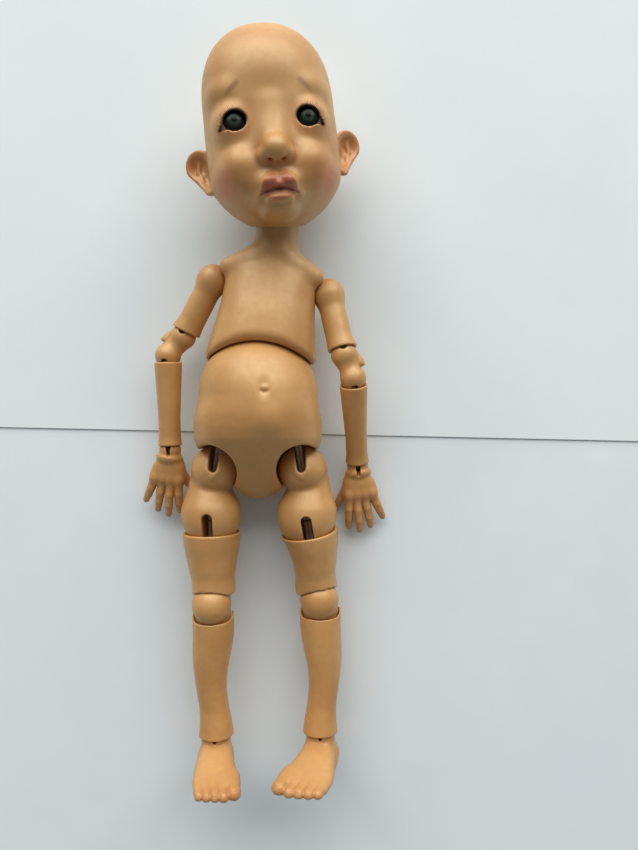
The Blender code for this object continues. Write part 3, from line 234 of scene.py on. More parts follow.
def fan(p, centre, first, axis, low, high, half_width, end_width=None):
    """The slot that a cord sweeps about a pivot, from low to high degrees, with a rounded end."""
    q = p - np.array(centre)
    axis = unit(axis)
    first = unit(first)
    third = np.cross(axis, first)
    along, across = q @ first, q @ third
    angle = np.arctan2(across, along)
    low, high = math.radians(low), math.radians(high)
    middle = (low + high) / 2
    angle = (angle - middle + math.pi) % (2 * math.pi) - math.pi
    bound = np.clip(angle, (low - high) / 2, (high - low) / 2) + middle
    reach = np.maximum(along * np.cos(bound) + across * np.sin(bound), 0)
    aside = np.hypot(along - reach * np.cos(bound), across - reach * np.sin(bound))
    last = half_width if end_width is None else end_width
    share = (bound - low) / (high - low)
    return np.hypot(q @ axis, aside) - (half_width + (last - half_width) * share)


def swept(p, centre, first, axis, low, high, arm, radius):
    """The room that a ball on an arm needs as it swings about an axis."""
    q = p - np.array(centre)
    axis = unit(axis)
    first = unit(first)
    third = np.cross(axis, first)
    angle = np.clip(np.arctan2(q @ third, q @ first), math.radians(low), math.radians(high))
    place = arm * (np.cos(angle)[:, None] * first + np.sin(angle)[:, None] * third)
    return length_of(q - place) - radius


BALL_GAP = 0.35
LEG_BORE = 1.9
ARM_BORE = 1.5
print("forms: ball, egg, stick, sticks, fan, swept")


# %% [markdown]
# ## Outlines from a few shares
# A limb's outline is a short table: how far along it is, and how wide it is there. A smooth curve through the
# table that never overshoots gives the swell of a calf or a belly.

# %% Smooth outlines and lofted forms
def smooth_table(rows, samples=240):
    rows = np.array(sorted(rows), float)
    x = rows[:, 0]
    fine = np.linspace(x[0], x[-1], samples)
    span = np.diff(x)
    columns = [fine]
    for values in rows[:, 1:].T:
        rise = np.diff(values) / span
        slope = np.concatenate([[rise[0]], np.zeros(len(x) - 2), [rise[-1]]])
        same = rise[:-1] * rise[1:] > 0
        slope[1:-1][same] = 2 * (rise[:-1] * rise[1:])[same] / (rise[:-1] + rise[1:])[same]
        i = np.clip(np.searchsorted(x, fine) - 1, 0, len(span) - 1)
        t = (fine - x[i]) / span[i]
        columns.append((2 * t**3 - 3 * t**2 + 1) * values[i] + (t**3 - 2 * t**2 + t) * span[i] * slope[i]
                       + (3 * t**2 - 2 * t**3) * values[i + 1] + (t**3 - t**2) * span[i] * slope[i + 1])
    return np.array(columns)


def read(table, at, column):
    return np.interp(at, table[0], table[column])


def sized(table, at, column, size, length):
    """A measure read from a table, and how fast it changes along the length."""
    slope = np.interp(at, table[0], np.gradient(table[column], table[0]))
    return size * read(table, at, column), size * slope / length


def limb(p, first, last, half_width, table, soft=0.5):
    """A round limb about Z, from one height to another."""
    t = (p[:, 2] - first) / (last - first)
    radius, steep = sized(table, t, 1, half_width, last - first)
    side = (np.hypot(p[:, 0], p[:, 1]) - radius) / np.sqrt(1 + steep**2)
    ends = np.maximum(first - p[:, 2], p[:, 2] - last)
    return keep_in(side, ends, soft)


def section(across, forward, wide, deep, wide_slope, deep_slope, power):
    """The distance to an oval section whose size changes along its length."""
    u = np.maximum(np.abs(across) / wide, 1e-6)
    v = np.maximum(np.abs(forward) / deep, 1e-6)
    both = u**power + v**power
    share = both ** (1 / power)
    scale = both ** (1 / power - 1)
    tilt = scale * (u**power * wide_slope / wide + v**power * deep_slope / deep)
    steep = np.sqrt((scale * u ** (power - 1) / wide) ** 2 + (scale * v ** (power - 1) / deep) ** 2 + tilt**2)
    return (share - 1) / np.maximum(steep, 1e-6)


def trunk(p, length, half_width, front, back, table, power):
    """A form stacked along Y whose front and back have their own depths."""
    t = p[:, 1] / length
    wide, wide_slope = sized(table, t, 1, half_width, length)
    ahead, behind = sized(table, t, 2, front, length), sized(table, t, 3, back, length)
    deep, deep_slope = np.where(p[:, 2] > 0, ahead, behind)
    side = section(p[:, 0], p[:, 2], wide, deep, wide_slope, deep_slope, power)
    ends = length * np.maximum(t - table[0][-1], table[0][0] - t)
    return keep_in(side, ends, 0.5)


# %% [markdown]
# ## From distances to a skin
# A lattice of points is laid through the blank, the distance is worked out at each, and a skin is drawn where it
# changes sign. Only the cells near the skin are worked out finely. The points are then eased and set back
# exactly on the form, so the facets of the lattice disappear.

# %% The skin of a form
BLOCK = 4


def lattice(field, low, high, step):
    counts = np.ceil((high - low) / step).astype(int) + 1
    rough = -(-counts // BLOCK)
    centres = low + (np.indices(rough).reshape(3, -1).T * BLOCK + (BLOCK - 1) / 2) * step
    values = field(centres).reshape(rough)
    for axis in range(3):
        values = np.repeat(values, BLOCK, axis)
    values = values[: counts[0], : counts[1], : counts[2]].copy()
    near = np.abs(values) < step * (BLOCK * math.sqrt(3) / 2 * 1.6 + 1)
    values[near] = field(low + step * np.argwhere(near))
    return values


def net(values, low, step):
    inside = values < 0
    size = np.array(values.shape) - 1
    corners = [np.array((a, b, c)) for a in (0, 1) for b in (0, 1) for c in (0, 1)]
    count = sum(inside[a: size[0] + a, b: size[1] + b, c: size[2] + c].astype(np.int8) for a, b, c in corners)
    mixed = (count > 0) & (count < 8)
    cells = np.argwhere(mixed)
    number = np.full(mixed.shape, -1)
    number[mixed] = np.arange(len(cells))
    total = np.zeros((len(cells), 3))
    hits = np.zeros(len(cells))
    for corner in corners:
        for axis in range(3):
            if corner[axis]:
                continue
            other = corner.copy()
            other[axis] = 1
            near, far = values[tuple((cells + corner).T)], values[tuple((cells + other).T)]
            crossed = (near < 0) != (far < 0)
            spot = np.repeat(corner[None].astype(float), crossed.sum(), 0)
            spot[:, axis] = near[crossed] / (near[crossed] - far[crossed])
            total[crossed] += spot
            hits += crossed
    points = low + step * (cells + total / hits[:, None])
    faces = []
    for axis in range(3):
        u, v = np.eye(3, dtype=int)[(axis + 1) % 3], np.eye(3, dtype=int)[(axis + 2) % 3]
        first = np.take(inside, range(size[axis]), axis)
        change = np.argwhere(first != np.take(inside, range(1, size[axis] + 1), axis))
        limit = size.copy()
        limit[axis] = size[axis] + 1
        change = change[((change @ u) > 0) & ((change @ v) > 0) & (change < limit).all(1)]
        ring = [number[tuple((change - shift).T)] for shift in (u + v, v, 0 * u, u)]
        quads = np.array(ring).T
        out = first[tuple(change.T)]
        faces.append(np.where(out[:, None], quads, quads[:, ::-1]))
    return points, np.concatenate(faces)


def slope_at(field, points, reach=0.02):
    signs = np.array([(1, 1, 1), (1, -1, -1), (-1, 1, -1), (-1, -1, 1)], float)
    return sum(sign * field(points + sign * reach)[:, None] for sign in signs) / (4 * reach)


def eased(points, faces, field, rounds=2):
    """Ease the points among their neighbours and set them back on the form."""
    ends = np.concatenate([faces[:, [i, (i + 1) % 4]] for i in range(4)])
    weight = np.bincount(ends[:, 0], minlength=len(points))
    for _ in range(rounds):
        mean = np.array([np.bincount(ends[:, 0], points[ends[:, 1], k], len(points)) for k in range(3)]).T
        points = points + 0.5 * (mean / weight[:, None] - points)
        slope = slope_at(field, points)
        steep = np.maximum(np.einsum("ij,ij->i", slope, slope), 0.05)
        move = field(points)[:, None] * slope / steep[:, None]
        points = points - np.clip(move, -0.4, 0.4)
    return points


def skin(field, low, high, step):
    low, high = np.array(low, float), np.array(high, float)
    points, faces = net(lattice(field, low, high, step), low, step)
    return eased(points, faces, field), faces


# %% [markdown]
# ## From a skin to a Blender object
# The skin becomes a mesh whose points also carry a few painted values. Two of them come from the form itself:
# one is high where the surface folds in, where a casting keeps more stain and where the resin is darkened as
# painted shade, and `edge` is high on rims, which handling rubs paler. A piece rides on the body of the node that
# it stands for.

# %% Mesh makers
def mesh_object(name, points, faces, marks=None):
    """A mesh from points in millimetres, faces that all have as many corners, and painted values."""
    mesh = bpy.data.meshes.new(name)
    mesh.vertices.add(len(points))
    mesh.vertices.foreach_set("co", (np.array(points) * MM).astype(np.float32).ravel())
    mesh.loops.add(faces.size)
    mesh.loops.foreach_set("vertex_index", faces.astype(np.int32).ravel())
    mesh.polygons.add(len(faces))
    mesh.polygons.foreach_set("loop_start", np.arange(len(faces), dtype=np.int32) * faces.shape[1])
    mesh.update(calc_edges=True)
    mesh.validate()
    mesh.shade_smooth()
    for mark, values in (marks or {}).items():
        attribute = mesh.attributes.new(mark, "FLOAT", "POINT")
        attribute.data.foreach_set("value", np.clip(values, 0, 1).astype(np.float32))
    piece = bpy.data.objects.new(name, mesh)
    bpy.context.scene.collection.objects.link(piece)
    return piece


def settle(piece, node, finish):
    """Give a piece its finish and let it stand for a node of the frame."""
    piece.data.materials.append(finish)
    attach(piece, frame["nodes"][node]["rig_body"])
    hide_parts(node)


def form_marks(field, points):
    slope = slope_at(field, points)
    out = slope / np.maximum(length_of(slope), 1e-6)[:, None]
    # High in hollows and folds, where the resin is darkened partly as stain and partly as painted shade
    hollow = 1 - field(points + 1.2 * out) / 1.2
    rim = 1 + field(points - 0.7 * out) / 0.7
    return {"crease_stain_and_shade": np.clip(hollow * 1.1 - 0.1, 0, 1), "edge": np.clip(rim * 1.4 - 0.2, 0, 1)}


def plain(points):
    return {"blush": np.zeros(len(points))}


def carve(node, place, field, low, high, step, paint=plain, finish=None):
    """Carve the shell that stands for a node, in its own place and in the plain resin if no other is named."""
    points, faces = skin(field, low, high, step)
    marks = form_marks(field, points) | paint(points)
    piece = mesh_object(node + "_shell", place.outside(points), faces, marks)
    print(node, 2 * len(faces), "triangles")
    settle(piece, node, finish or resin_skin)


# %% [markdown]
# ## Cast resin
# Doll resin is a matte, slightly see-through plastic, cast in one skin colour. Light goes a millimetre into it,
# which softens the shadows. The colour drifts a little from place to place, folds are darker and warmer with stain
# and with painted shade, rims are paler, and sanding leaves a very fine grain. The face has more on it: blush,
# lips, brows and lash lines in pastel, which are painted values on its points, broken up by noise so that they
# look brushed.

# %% Material helpers
def tone(red, green, blue):
    """A colour as it reads on a screen, made linear for the shader."""
    def straight(value):
        value = value / 255
        return value / 12.92 if value <= 0.04045 else ((value + 0.055) / 1.055) ** 2.4
    return (straight(red), straight(green), straight(blue), 1.0)


class Bench:
    """A material's nodes, with short ways to add and join them."""
    def __init__(self, name):
        self.material = bpy.data.materials.new(name)
        self.material.use_nodes = True
        self.tree = self.material.node_tree
        self.shader = self.tree.nodes["Principled BSDF"]
        self.place = self.node("ShaderNodeTexCoord").outputs["Object"]

    def node(self, kind, **settings):
        made = self.tree.nodes.new(kind)
        for key, value in settings.items():
            setattr(made, key, value)
        return made

    def join(self, source, target):
        self.tree.links.new(source, target)

    def feed(self, target, value):
        if isinstance(value, bpy.types.NodeSocket):
            self.join(value, target)
        else:
            target.default_value = value

    def mark(self, name):
        return self.node("ShaderNodeAttribute", attribute_name=name).outputs["Fac"]

    def noise(self, size_mm, detail=3.0, roughness=0.55):
        made = self.node("ShaderNodeTexNoise")
        self.join(self.place, made.inputs["Vector"])
        made.inputs["Scale"].default_value = 1 / (size_mm * MM)
        made.inputs["Detail"].default_value = detail
        made.inputs["Roughness"].default_value = roughness
        return made.outputs["Fac"]

    def spread(self, value, low, high, to_low=0.0, to_high=1.0):
        made = self.node("ShaderNodeMapRange")
        self.feed(made.inputs["Value"], value)
        for key, number in (("From Min", low), ("From Max", high), ("To Min", to_low), ("To Max", to_high)):
            made.inputs[key].default_value = number
        return made.outputs["Result"]

    def sum(self, kind, a, b):
        made = self.node("ShaderNodeMath", operation=kind)
        self.feed(made.inputs[0], a)
        self.feed(made.inputs[1], b)
        return made.outputs[0]

    def mix(self, share, a, b, blend="MIX"):
        made = self.node("ShaderNodeMix", data_type="RGBA", blend_type=blend)
        self.feed(made.inputs[0], share)
        self.feed(made.inputs[6], a)
        self.feed(made.inputs[7], b)
        return made.outputs[2]

    def bump(self, height, strength, distance_mm):
        made = self.node("ShaderNodeBump")
        made.inputs["Strength"].default_value = strength
        made.inputs["Distance"].default_value = distance_mm * MM
        self.join(height, made.inputs["Height"])
        self.join(made.outputs["Normal"], self.shader.inputs["Normal"])

    def set(self, **values):
        for key, value in values.items():
            self.feed(self.shader.inputs[key.replace("_", " ")], value)


# %% The resin
RESIN_LIGHT = tone(208, 156, 94)
RESIN_DEEP = tone(196, 140, 78)
# The darker colour for random flecks and for painted shade in folds
RESIN_FLECK_AND_SHADE = tone(168, 94, 42)
RESIN_RIM = tone(216, 173, 112)
BODY_PAINTS = {"blush": tone(206, 122, 66)}
FACE_PAINTS = {"blush": tone(204, 92, 46), "lip": tone(172, 66, 48), "brow": tone(118, 56, 22),
               "lash": tone(38, 24, 16)}


def resin(name, rim_share, paints):
    work = Bench(name)
    cloud = work.spread(work.noise(19, 2.0), 0.35, 0.65)
    freckle = work.spread(work.noise(2.4, 4.0, 0.65), 0.38, 0.68)
    colour = work.mix(cloud, RESIN_LIGHT, RESIN_DEEP)
    colour = work.mix(work.sum("MULTIPLY", freckle, 0.14), colour, RESIN_FLECK_AND_SHADE)
    # Folds and creases darkened towards the darker colour: partly stain, partly painted shade
    fold = work.sum("MULTIPLY", work.mark("crease_stain_and_shade"), work.spread(freckle, 0, 1, 0.55, 0.8))
    colour = work.mix(fold, colour, RESIN_FLECK_AND_SHADE)
    colour = work.mix(work.sum("MULTIPLY", work.mark("edge"), rim_share), colour, RESIN_RIM)
    brushed = work.spread(work.noise(0.5, 3.0, 0.7), 0.25, 0.75, 0.72, 1.12)
    for mark, shade in paints.items():
        colour = work.mix(work.sum("MULTIPLY", work.mark(mark), brushed), colour, shade)
    work.set(Base_Color=colour, Roughness=work.spread(freckle, 0, 1, 0.42, 0.52), IOR=1.62,
             Specular_IOR_Level=0.9, Specular_Tint=(1.0, 0.92, 0.68, 1.0), Subsurface_Weight=0.22,
             Subsurface_Radius=(1.0, 0.45, 0.22), Subsurface_Scale=1.3 * MM)
    grain = work.sum("ADD", work.noise(0.16, 2.0, 0.6), work.sum("MULTIPLY", work.noise(1.3, 3.0), 0.8))
    work.bump(grain, 0.35, 0.03)
    return work.material


resin_skin = resin("doll_resin", 0.25, BODY_PAINTS)
resin_face = resin("doll_resin_face", 0.08, FACE_PAINTS)
print("resin for the body and for the face")

# %% [markdown]
# ## The head
# The head is an egg with a high brow, a small nose, full cheeks and a short chin, hollow inside, with a cap at the
# back that lifts off to reach the eyes. It could be sculpted by hand. Here it is an egg whose width, face depth
# and skull depth follow a table, with each feature melted on or carved out of it in the order in which a
# sculptor works: big forms first, then the nose, lips, lids and ears.
# Most features are pairs, so they are carved once in the half with x above zero and mirrored.

# %% The egg of the head
HEAD_Z = -axis_of("head_cap_lift")
HEAD_Y = unit((-HEAD_Z[1], HEAD_Z[0], 0))
HEAD_HEIGHT = 69.0
CHIN_BELOW = 34.3
HEAD_HALF_WIDTH = 22.8
FACE_DEPTH = 24.5
SKULL_DEPTH = 26.0
NECK_IN_HEAD = np.array((0.705, -27.883, -5.606))
head_turn = Place((0, 0, 0), np.cross(HEAD_Y, HEAD_Z), HEAD_Y, HEAD_Z)
head_place = Place(NECK - head_turn.outside(NECK_IN_HEAD), *head_turn.turn)
# Share of the height above the chin, then how much wider and deeper than a plain egg it is there
HEAD_TABLE = smooth_table((
    (0.000, 1.10, 1.42, 0.30), (0.022, 1.23, 1.36, 0.45), (0.060, 1.18, 1.34, 0.67), (0.130, 1.19, 1.28, 0.77),
    (0.200, 1.19, 1.10, 0.85), (0.290, 1.10, 0.98, 0.93), (0.410, 1.02, 0.925, 0.98), (0.530, 1.00, 0.97, 1.00),
    (0.645, 1.035, 1.045, 1.03), (0.760, 1.095, 1.10, 1.05), (0.860, 1.14, 1.14, 1.08),
    (0.935, 1.156, 1.14, 1.14), (0.980, 1.18, 1.11, 1.18), (1.000, 1.18, 1.11, 1.18),
))
HEAD_POWER = 2.25


def head_egg(p):
    """The plain egg. Its back leans a millimetre to the doll's left."""
    p = p - stacked(np.clip(1 - p[:, 2] / 18, 0, 1), 0, 0)
    t = np.clip((p[:, 1] + CHIN_BELOW) / HEAD_HEIGHT, 0, 1)
    wide = HEAD_HALF_WIDTH * read(HEAD_TABLE, t, 1)
    deep = np.where(p[:, 2] > 0, FACE_DEPTH * read(HEAD_TABLE, t, 2), SKULL_DEPTH * read(HEAD_TABLE, t, 3))
    u, v = np.abs(p[:, 0]) / wide, np.abs(p[:, 2]) / deep
    tall = 2 * (p[:, 1] + CHIN_BELOW) / HEAD_HEIGHT - 1
    round_part = (u**HEAD_POWER + v**HEAD_POWER + 1e-9) ** (1 / HEAD_POWER)
    share = np.sqrt(round_part**2 + tall**2)
    radial = round_part / np.maximum(share, 1e-6)
    steep = np.sqrt((radial / np.minimum(wide, deep)) ** 2 + (tall / share * 2 / HEAD_HEIGHT) ** 2)
    return (share - 1) / np.maximum(steep, 1e-6)


print("head centre", head_place.origin.round(2))

# %% [markdown]
# ### Features of the face
# The nose is a short bridge, a round tip and two wings with nostrils under them. The upper lip is two lobes that
# meet in the middle and push forward over a thin dark gap; the lower lip is small and set back. The mouth turns
# down at its corners. The lids are a thin shell round each eyeball, with an opening that droops outwards.

# %% The face
EYE_RADIUS = 6.0
EYE_CENTRE = np.array((11.8, -4.6, 15.2))
LID_RADIUS = 6.8


def eye_opening(p):
    """The distance to the outline of the lids, seen from the front, for the half with x above zero."""
    flat = stacked(p[:, 0] - EYE_CENTRE[0], 1.15 * (p[:, 1] - EYE_CENTRE[1] + 0.25))
    almond = stick(flat, (-0.15, -0.15), (4.6, -2.35), 3.6, 0.45)
    return melt(almond, length_of(flat - np.array((-0.1, -0.2))) - 3.65, 0.4)


def mouth_line(x):
    return -27.6 - 0.02 * x**2


def face_forms(p, half):
    d = melt(head_egg(p), egg(p, (0, 13, 10.2), (13.5, 12, 13.4)), 4.0)
    d = melt(d, egg(half, (10.6, -17.5, 11.3), (7.6, 7.6, 10.2)), 3.0)
    d = melt(d, egg(p, (0, -25.5, 13.5), (8.5, 7.2, 8.0)), 3.0)
    d = melt(d, egg(p, (0, -31.6, 12.6), (5.6, 3.0, 6.2)), 2.5)
    d = melt(d, egg(half, (11.5, 6.0, 12.0), (7.5, 4.5, 8.3)), 3.5)
    d = carve_out(d, egg(half, (11.6, -4.6, 29.0), (6.2, 5.2, 7.2)), 2.5)
    d = melt(d, stick(p, (0, -1.5, 19.2), (0, -13.0, 21.4), 2.8, 3.8), 5.0)
    d = melt(d, egg(p, (0, -15.7, 24.2), (4.1, 3.9, 3.7)), 2.2)
    d = melt(d, egg(half, (3.6, -17.0, 22.1), (2.35, 2.3, 2.5)), 1.5)
    d = melt(d, egg(p, (0, -18.9, 22.2), (1.4, 1.6, 2.4)), 1.2)
    d = carve_out(d, stick(half, (2.3, -19.9, 23.9), (1.95, -18.0, 23.2), 0.7, 0.45), 1.0)
    return carve_out(d, stick(p, (0, -20.6, 23.4), (0, -22.6, 23.7), 0.8, 1.0), 1.4)


def lips(d, p, half):
    lobe_turn = np.array([(math.cos(0.22), -math.sin(0.22), 0), (math.sin(0.22), math.cos(0.22), 0), (0, 0, 1)])
    d = melt(d, egg(half, (2.5, -25.0, 20.9), (3.6, 2.4, 3.0), lobe_turn), 1.3)
    d = melt(d, egg(p, (0, -26.3, 21.5), (1.9, 1.5, 2.2)), 1.0)
    d = melt(d, stick(half, (4.4, -26.9, 19.7), (6.7, -28.3, 17.4), 0.9, 0.4), 2.0)
    d = melt(d, egg(p, (0, -29.9, 19.3), (4.3, 1.8, 2.6)), 1.2)
    gap = np.abs(p[:, 1] - mouth_line(p[:, 0])) - 0.10 * np.clip(1 - (p[:, 0] / 6.2) ** 2, 0, 1)
    depth = 20.9 - 0.072 * p[:, 0] ** 2 - p[:, 2]
    d = carve_out(d, np.maximum(np.maximum(gap, depth), np.abs(p[:, 0]) - 6.2), 0.5)
    return carve_out(d, stick(half, (0.0, -32.2, 21.2), (3.0, -31.9, 20.2), 0.7, 0.5), 1.8)


def lids(d, half):
    q = half - EYE_CENTRE
    shell = melt(length_of(q) - LID_RADIUS, length_of(q * (1, 1.1, 1) - (0, 0.9, 0.15)) - LID_RADIUS, 0.6)
    return melt(d, np.maximum(shell, 9.0 - half[:, 2]), 2.8)


# %% [markdown]
# ### Ears
# Each ear is a teardrop plate with its wide end up, leaning out from the head. A rim runs round a bowl, with a
# small fold inside, and the lobe is plain. The plate is a thick outline, dished with two eggs.

# %% The ears
EAR_CENTRE = np.array((26.0, -8.8, -4.5))
EAR_SWEEP = math.radians(28)
EAR_TILT = math.radians(13)
EAR_SCALE = 1.2
# The photograph looks at the head a little from one side, so each ear has its own move inward, down and back
EAR_MOVE = {"right": (1.9, 2.8, 0), "left": (-1.2, -0.8, 0)}


def ear(p, half):
    move = np.where(p[:, :1] < 0, EAR_MOVE["right"], EAR_MOVE["left"])
    q = (half - EAR_CENTRE + move) / EAR_SCALE
    flat = q[:, 0] * math.cos(EAR_SWEEP) - q[:, 2] * math.sin(EAR_SWEEP)
    out = q[:, 0] * math.sin(EAR_SWEEP) + q[:, 2] * math.cos(EAR_SWEEP)
    u = flat * math.cos(EAR_TILT) - q[:, 1] * math.sin(EAR_TILT)
    v = flat * math.sin(EAR_TILT) + q[:, 1] * math.cos(EAR_TILT)
    outline = stick(stacked(u, v), (0.0, 2.9), (-1.7, -5.0), 4.5, 2.35)
    e = stacked(u, v, out + 0.7 - 0.035 * (u**2 + (v - 1) ** 2))
    plate = keep_in(outline, np.abs(e[:, 2]) - 1.15, 1.0)
    plate = carve_out(plate, egg(e, (0.2, 2.6, 1.7), (3.1, 3.2, 2.0)), 0.6)
    plate = carve_out(plate, egg(e, (-1.1, -1.2, 1.7), (2.2, 3.2, 2.1)), 0.6)
    fold = sticks(e, ((0.2, 4.6, -0.1), (1.3, 1.6, 0.1), (0.6, -1.6, 0.1)), (0.55, 0.7, 0.4))
    return EAR_SCALE * melt(plate, fold, 0.6)


# %% [markdown]
# ### The hollow, the neck and the cap's seam
# Inside, the head is a shell about three and a half millimetres thick. Below is the cup that rides on the neck,
# with a hole for the hook and a bar of resin across it for the hook to hang on. The cap is cut off by a flat plane
# and held by two pairs of magnets, so both halves come from one form.

# %% The head's shell and its cuts
NECK_BALL = 8.3
SHELL_THICKNESS = 3.4
CROWN_INSIDE = HEAD_HEIGHT - CHIN_BELOW - 6.0
CAVITY_FLOOR = 13.5 + NECK_IN_HEAD[1]
SEAM = -13.6
HALF_GAP = 0.15
HEAD_BAR_HEIGHT = 11.5
MAGNET_RADIUS = 1.1
MAGNET_GAP = 0.3
MAGNET_HEIGHTS = {"top": CROWN_INSIDE - 1.4, "low": CAVITY_FLOOR}
chest_from_head = head_place.inside([CHEST])[0]


def hollow(p):
    middle = (0, (CROWN_INSIDE + CAVITY_FLOOR) / 2, (FACE_DEPTH - SKULL_DEPTH) / 2)
    radii = (HEAD_HALF_WIDTH - SHELL_THICKNESS, (CROWN_INSIDE - CAVITY_FLOOR) / 2,
             (FACE_DEPTH + SKULL_DEPTH) / 2 - SHELL_THICKNESS)
    return egg(p, middle, radii)


def magnet_seats(d, p):
    for height in MAGNET_HEIGHTS.values():
        across = np.hypot(p[:, 0], p[:, 1] - height) - MAGNET_RADIUS - MAGNET_GAP
        d = np.maximum(d, -np.maximum(across, np.abs(p[:, 2] - SEAM) - 1.6))
    return d


def head_field(p):
    half = folded(p)
    d = lips(face_forms(p, half), p, half)
    d = lids(d, half)
    d = melt(d, ear(p, half), 1.1)
    d = carve_out(d, hollow(p), 0.5)
    d = carve_out(d, ball(half, EYE_CENTRE, EYE_RADIUS + 0.25), 0.25)
    opening = np.maximum(eye_opening(half), EYE_CENTRE[2] - half[:, 2])
    d = carve_out(d, opening, 0.35)
    below = NECK_IN_HEAD + 12.0 * unit(chest_from_head - NECK_IN_HEAD)
    d = carve_out(d, stick(p, NECK_IN_HEAD, below, NECK_BALL + BALL_GAP, 12.3), 0.5)
    d = carve_out(d, stick(p, NECK_IN_HEAD, NECK_IN_HEAD + (0, 16.5, 0), 3.6), 0.3)
    bar = NECK_IN_HEAD + (0, HEAD_BAR_HEIGHT, 0)
    d = melt(d, stick(p, bar - (4.6, 0, 0), bar + (4.6, 0, 0), 1.0), 0.2)
    return keep_in(magnet_seats(d, p), SEAM + HALF_GAP - p[:, 2], 0.3)


def cap_field(p):
    d = carve_out(head_egg(p), hollow(p), 0.5)
    return keep_in(magnet_seats(d, p), p[:, 2] - SEAM + HALF_GAP, 0.3)


# %% [markdown]
# ### Face paint
# The blush sits low on the cheeks and a little on the ears, nose and lids. The lips are a dusty red that is
# strongest on the upper lobes. The brows are one short, faint stroke each, with the inner end raised, and a dark
# line follows the lids, strongest above and at the outer corner.

# %% Painted values of the face
def face_paint(p):
    half = folded(p)
    front = np.clip((p[:, 2] - 4) / 6, 0, 1)
    cheek = glow(length_of((half - (16.4, -22.4, 12)) * (1, 1.15, 0.7)), 5.4)
    nose = glow(length_of(half - (1.5, -18.6, 23)), 3.2) * 0.35
    inner_ear = ramp(half[:, 0], 23.5, 25.5) * ramp(p[:, 2], -9.0, -6.5) * 0.28
    around = eye_opening(half)
    under_eye = glow(np.abs(around) - 0.6, 1.6) * 0.25 * front
    blush = np.maximum.reduce([0.95 * cheek, nose, inner_ear, under_eye])
    x = half[:, 0]
    top = -23.2 - np.where(x < 2.2, 0.14, 0.27) * (x - 2.2) ** 2
    line = mouth_line(p[:, 0])
    upper_lip = ramp(p[:, 1], top + 0.35, top - 0.45) * ramp(p[:, 1], line - 0.5, line)
    lower_lip = ramp(p[:, 1], -31.3 + 0.07 * x**2, -30.6 + 0.07 * x**2) * ramp(p[:, 1], line + 0.1, line - 0.3)
    lip = np.maximum(upper_lip * 0.9, lower_lip * 0.62 * ramp(x, 5.2, 3.9))
    lip = lip * ramp(x, 6.6, 5.4) * ramp(p[:, 2], 15, 17)
    gap = glow(np.abs(p[:, 1] - line) - 0.08, 0.3) * ramp(x, 6.7, 5.2) * ramp(p[:, 2], 14, 16)
    stroke = stick(half[:, :2], (10.1, 6.2), (14.7, 3.0), 0.40, 0.15)
    brow = 0.6 * glow(stroke, 0.6) * ramp(x, 15.4, 12.0) * ramp(p[:, 2], 5, 8)
    upper = ramp(half[:, 1], EYE_CENTRE[1] - 2.6, EYE_CENTRE[1] + 0.6)
    outer = ramp(x, 14.2, 16.4)
    lash = glow(np.abs(around) - 0.16, 0.40) * np.maximum(np.maximum(upper, 0.8 * outer), 0.12) * front
    lash = np.maximum(lash * ramp(p[:, 2], 12, 14), gap * 0.42)
    return {"blush": blush, "lip": np.clip(lip + gap * 0.4, 0, 1), "brow": brow, "lash": lash}


def bare(p):
    return {mark: 0 * value for mark, value in face_paint(p).items()}


# %% Carve the head and its cap
carve("head", head_place, head_field, (-36, -35.5, SEAM - 0.6), (36, 36, 29.5), 0.38, face_paint, resin_face)
carve("head_cap", head_place, cap_field, (-24, -30, -27.2), (24, 36, SEAM + 0.6), 0.45, bare, resin_face)

# %% [markdown]
# ## The chest
# The chest is plain and neutral. It narrows into the neck, which ends in the ball that the head turns on, and its
# lower rim is an arch over the round belly. Its forms follow a table from the waist to the neck; the sockets, the
# arch and the cup for the belly are carved with soft rims.

# %% The chest
chest_x = unit(pivot("shoulder_swing_left") - pivot("shoulder_swing_right"))
chest_place = Place(CHEST, chest_x, np.cross((0, 0, 1), chest_x), (0, 0, 1))
CHEST_TABLE = smooth_table((
    (0.790, 0.350, 0.560, 0.020), (0.600, 0.390, 0.580, 0.150), (0.440, 0.445, 0.575, 0.330),
    (0.330, 0.610, 0.575, 0.500), (0.220, 0.765, 0.600, 0.640), (0.100, 0.835, 0.650, 0.780),
    (-0.100, 0.850, 0.740, 0.900), (-0.330, 0.880, 0.850, 0.960), (-0.600, 0.945, 0.930, 0.970),
    (-0.800, 1.000, 0.985, 0.970), (-1.000, 1.030, 1.030, 0.950),
))
neck_from_chest = chest_place.inside([NECK])[0]
waist_from_chest = chest_place.inside([WAIST])[0]
arch_from_chest = chest_place.inside([WAIST - (0, 10.3, 0)])[0]
BELLY_RADIUS = 21.5
SHOULDER_BALL = 6.2
BODY_STEP = 0.5


def chest_field(p):
    d = trunk(p, 31.0, 19.8, 19.0, 17.0, CHEST_TABLE, 2.35)
    d = melt(d, ball(p, neck_from_chest, NECK_BALL), 1.6)
    side = folded(p)
    d = melt(d, stick(side, (6.0, 9.6, 6.2), (15.6, 5.0, 4.4), 3.4, 3.2), 3.0)
    d = carve_out(d, np.hypot(p[:, 0] - arch_from_chest[0], p[:, 1] - arch_from_chest[1]) - 28.2, 4.2)
    d = carve_out(d, ball(p, waist_from_chest, BELLY_RADIUS + 0.45), 0.45)
    d = carve_out(d, egg(p, (0, -10.5, 0), (11.5, 14.5, 10.5)), 0.5)
    d = carve_out(d, stick(p, (0, 0, 0), neck_from_chest * 1.5, LEG_BORE), 0.3)
    d = carve_out(d, ball(side, (21.8, 0, 0), SHOULDER_BALL + BALL_GAP), 0.5)
    d = carve_out(d, stick(p, (-24, 0, 0), (24, 0, 0), ARM_BORE), 0.3)
    return keep_in(d, -CHEST[2] - p[:, 2], 0.6)


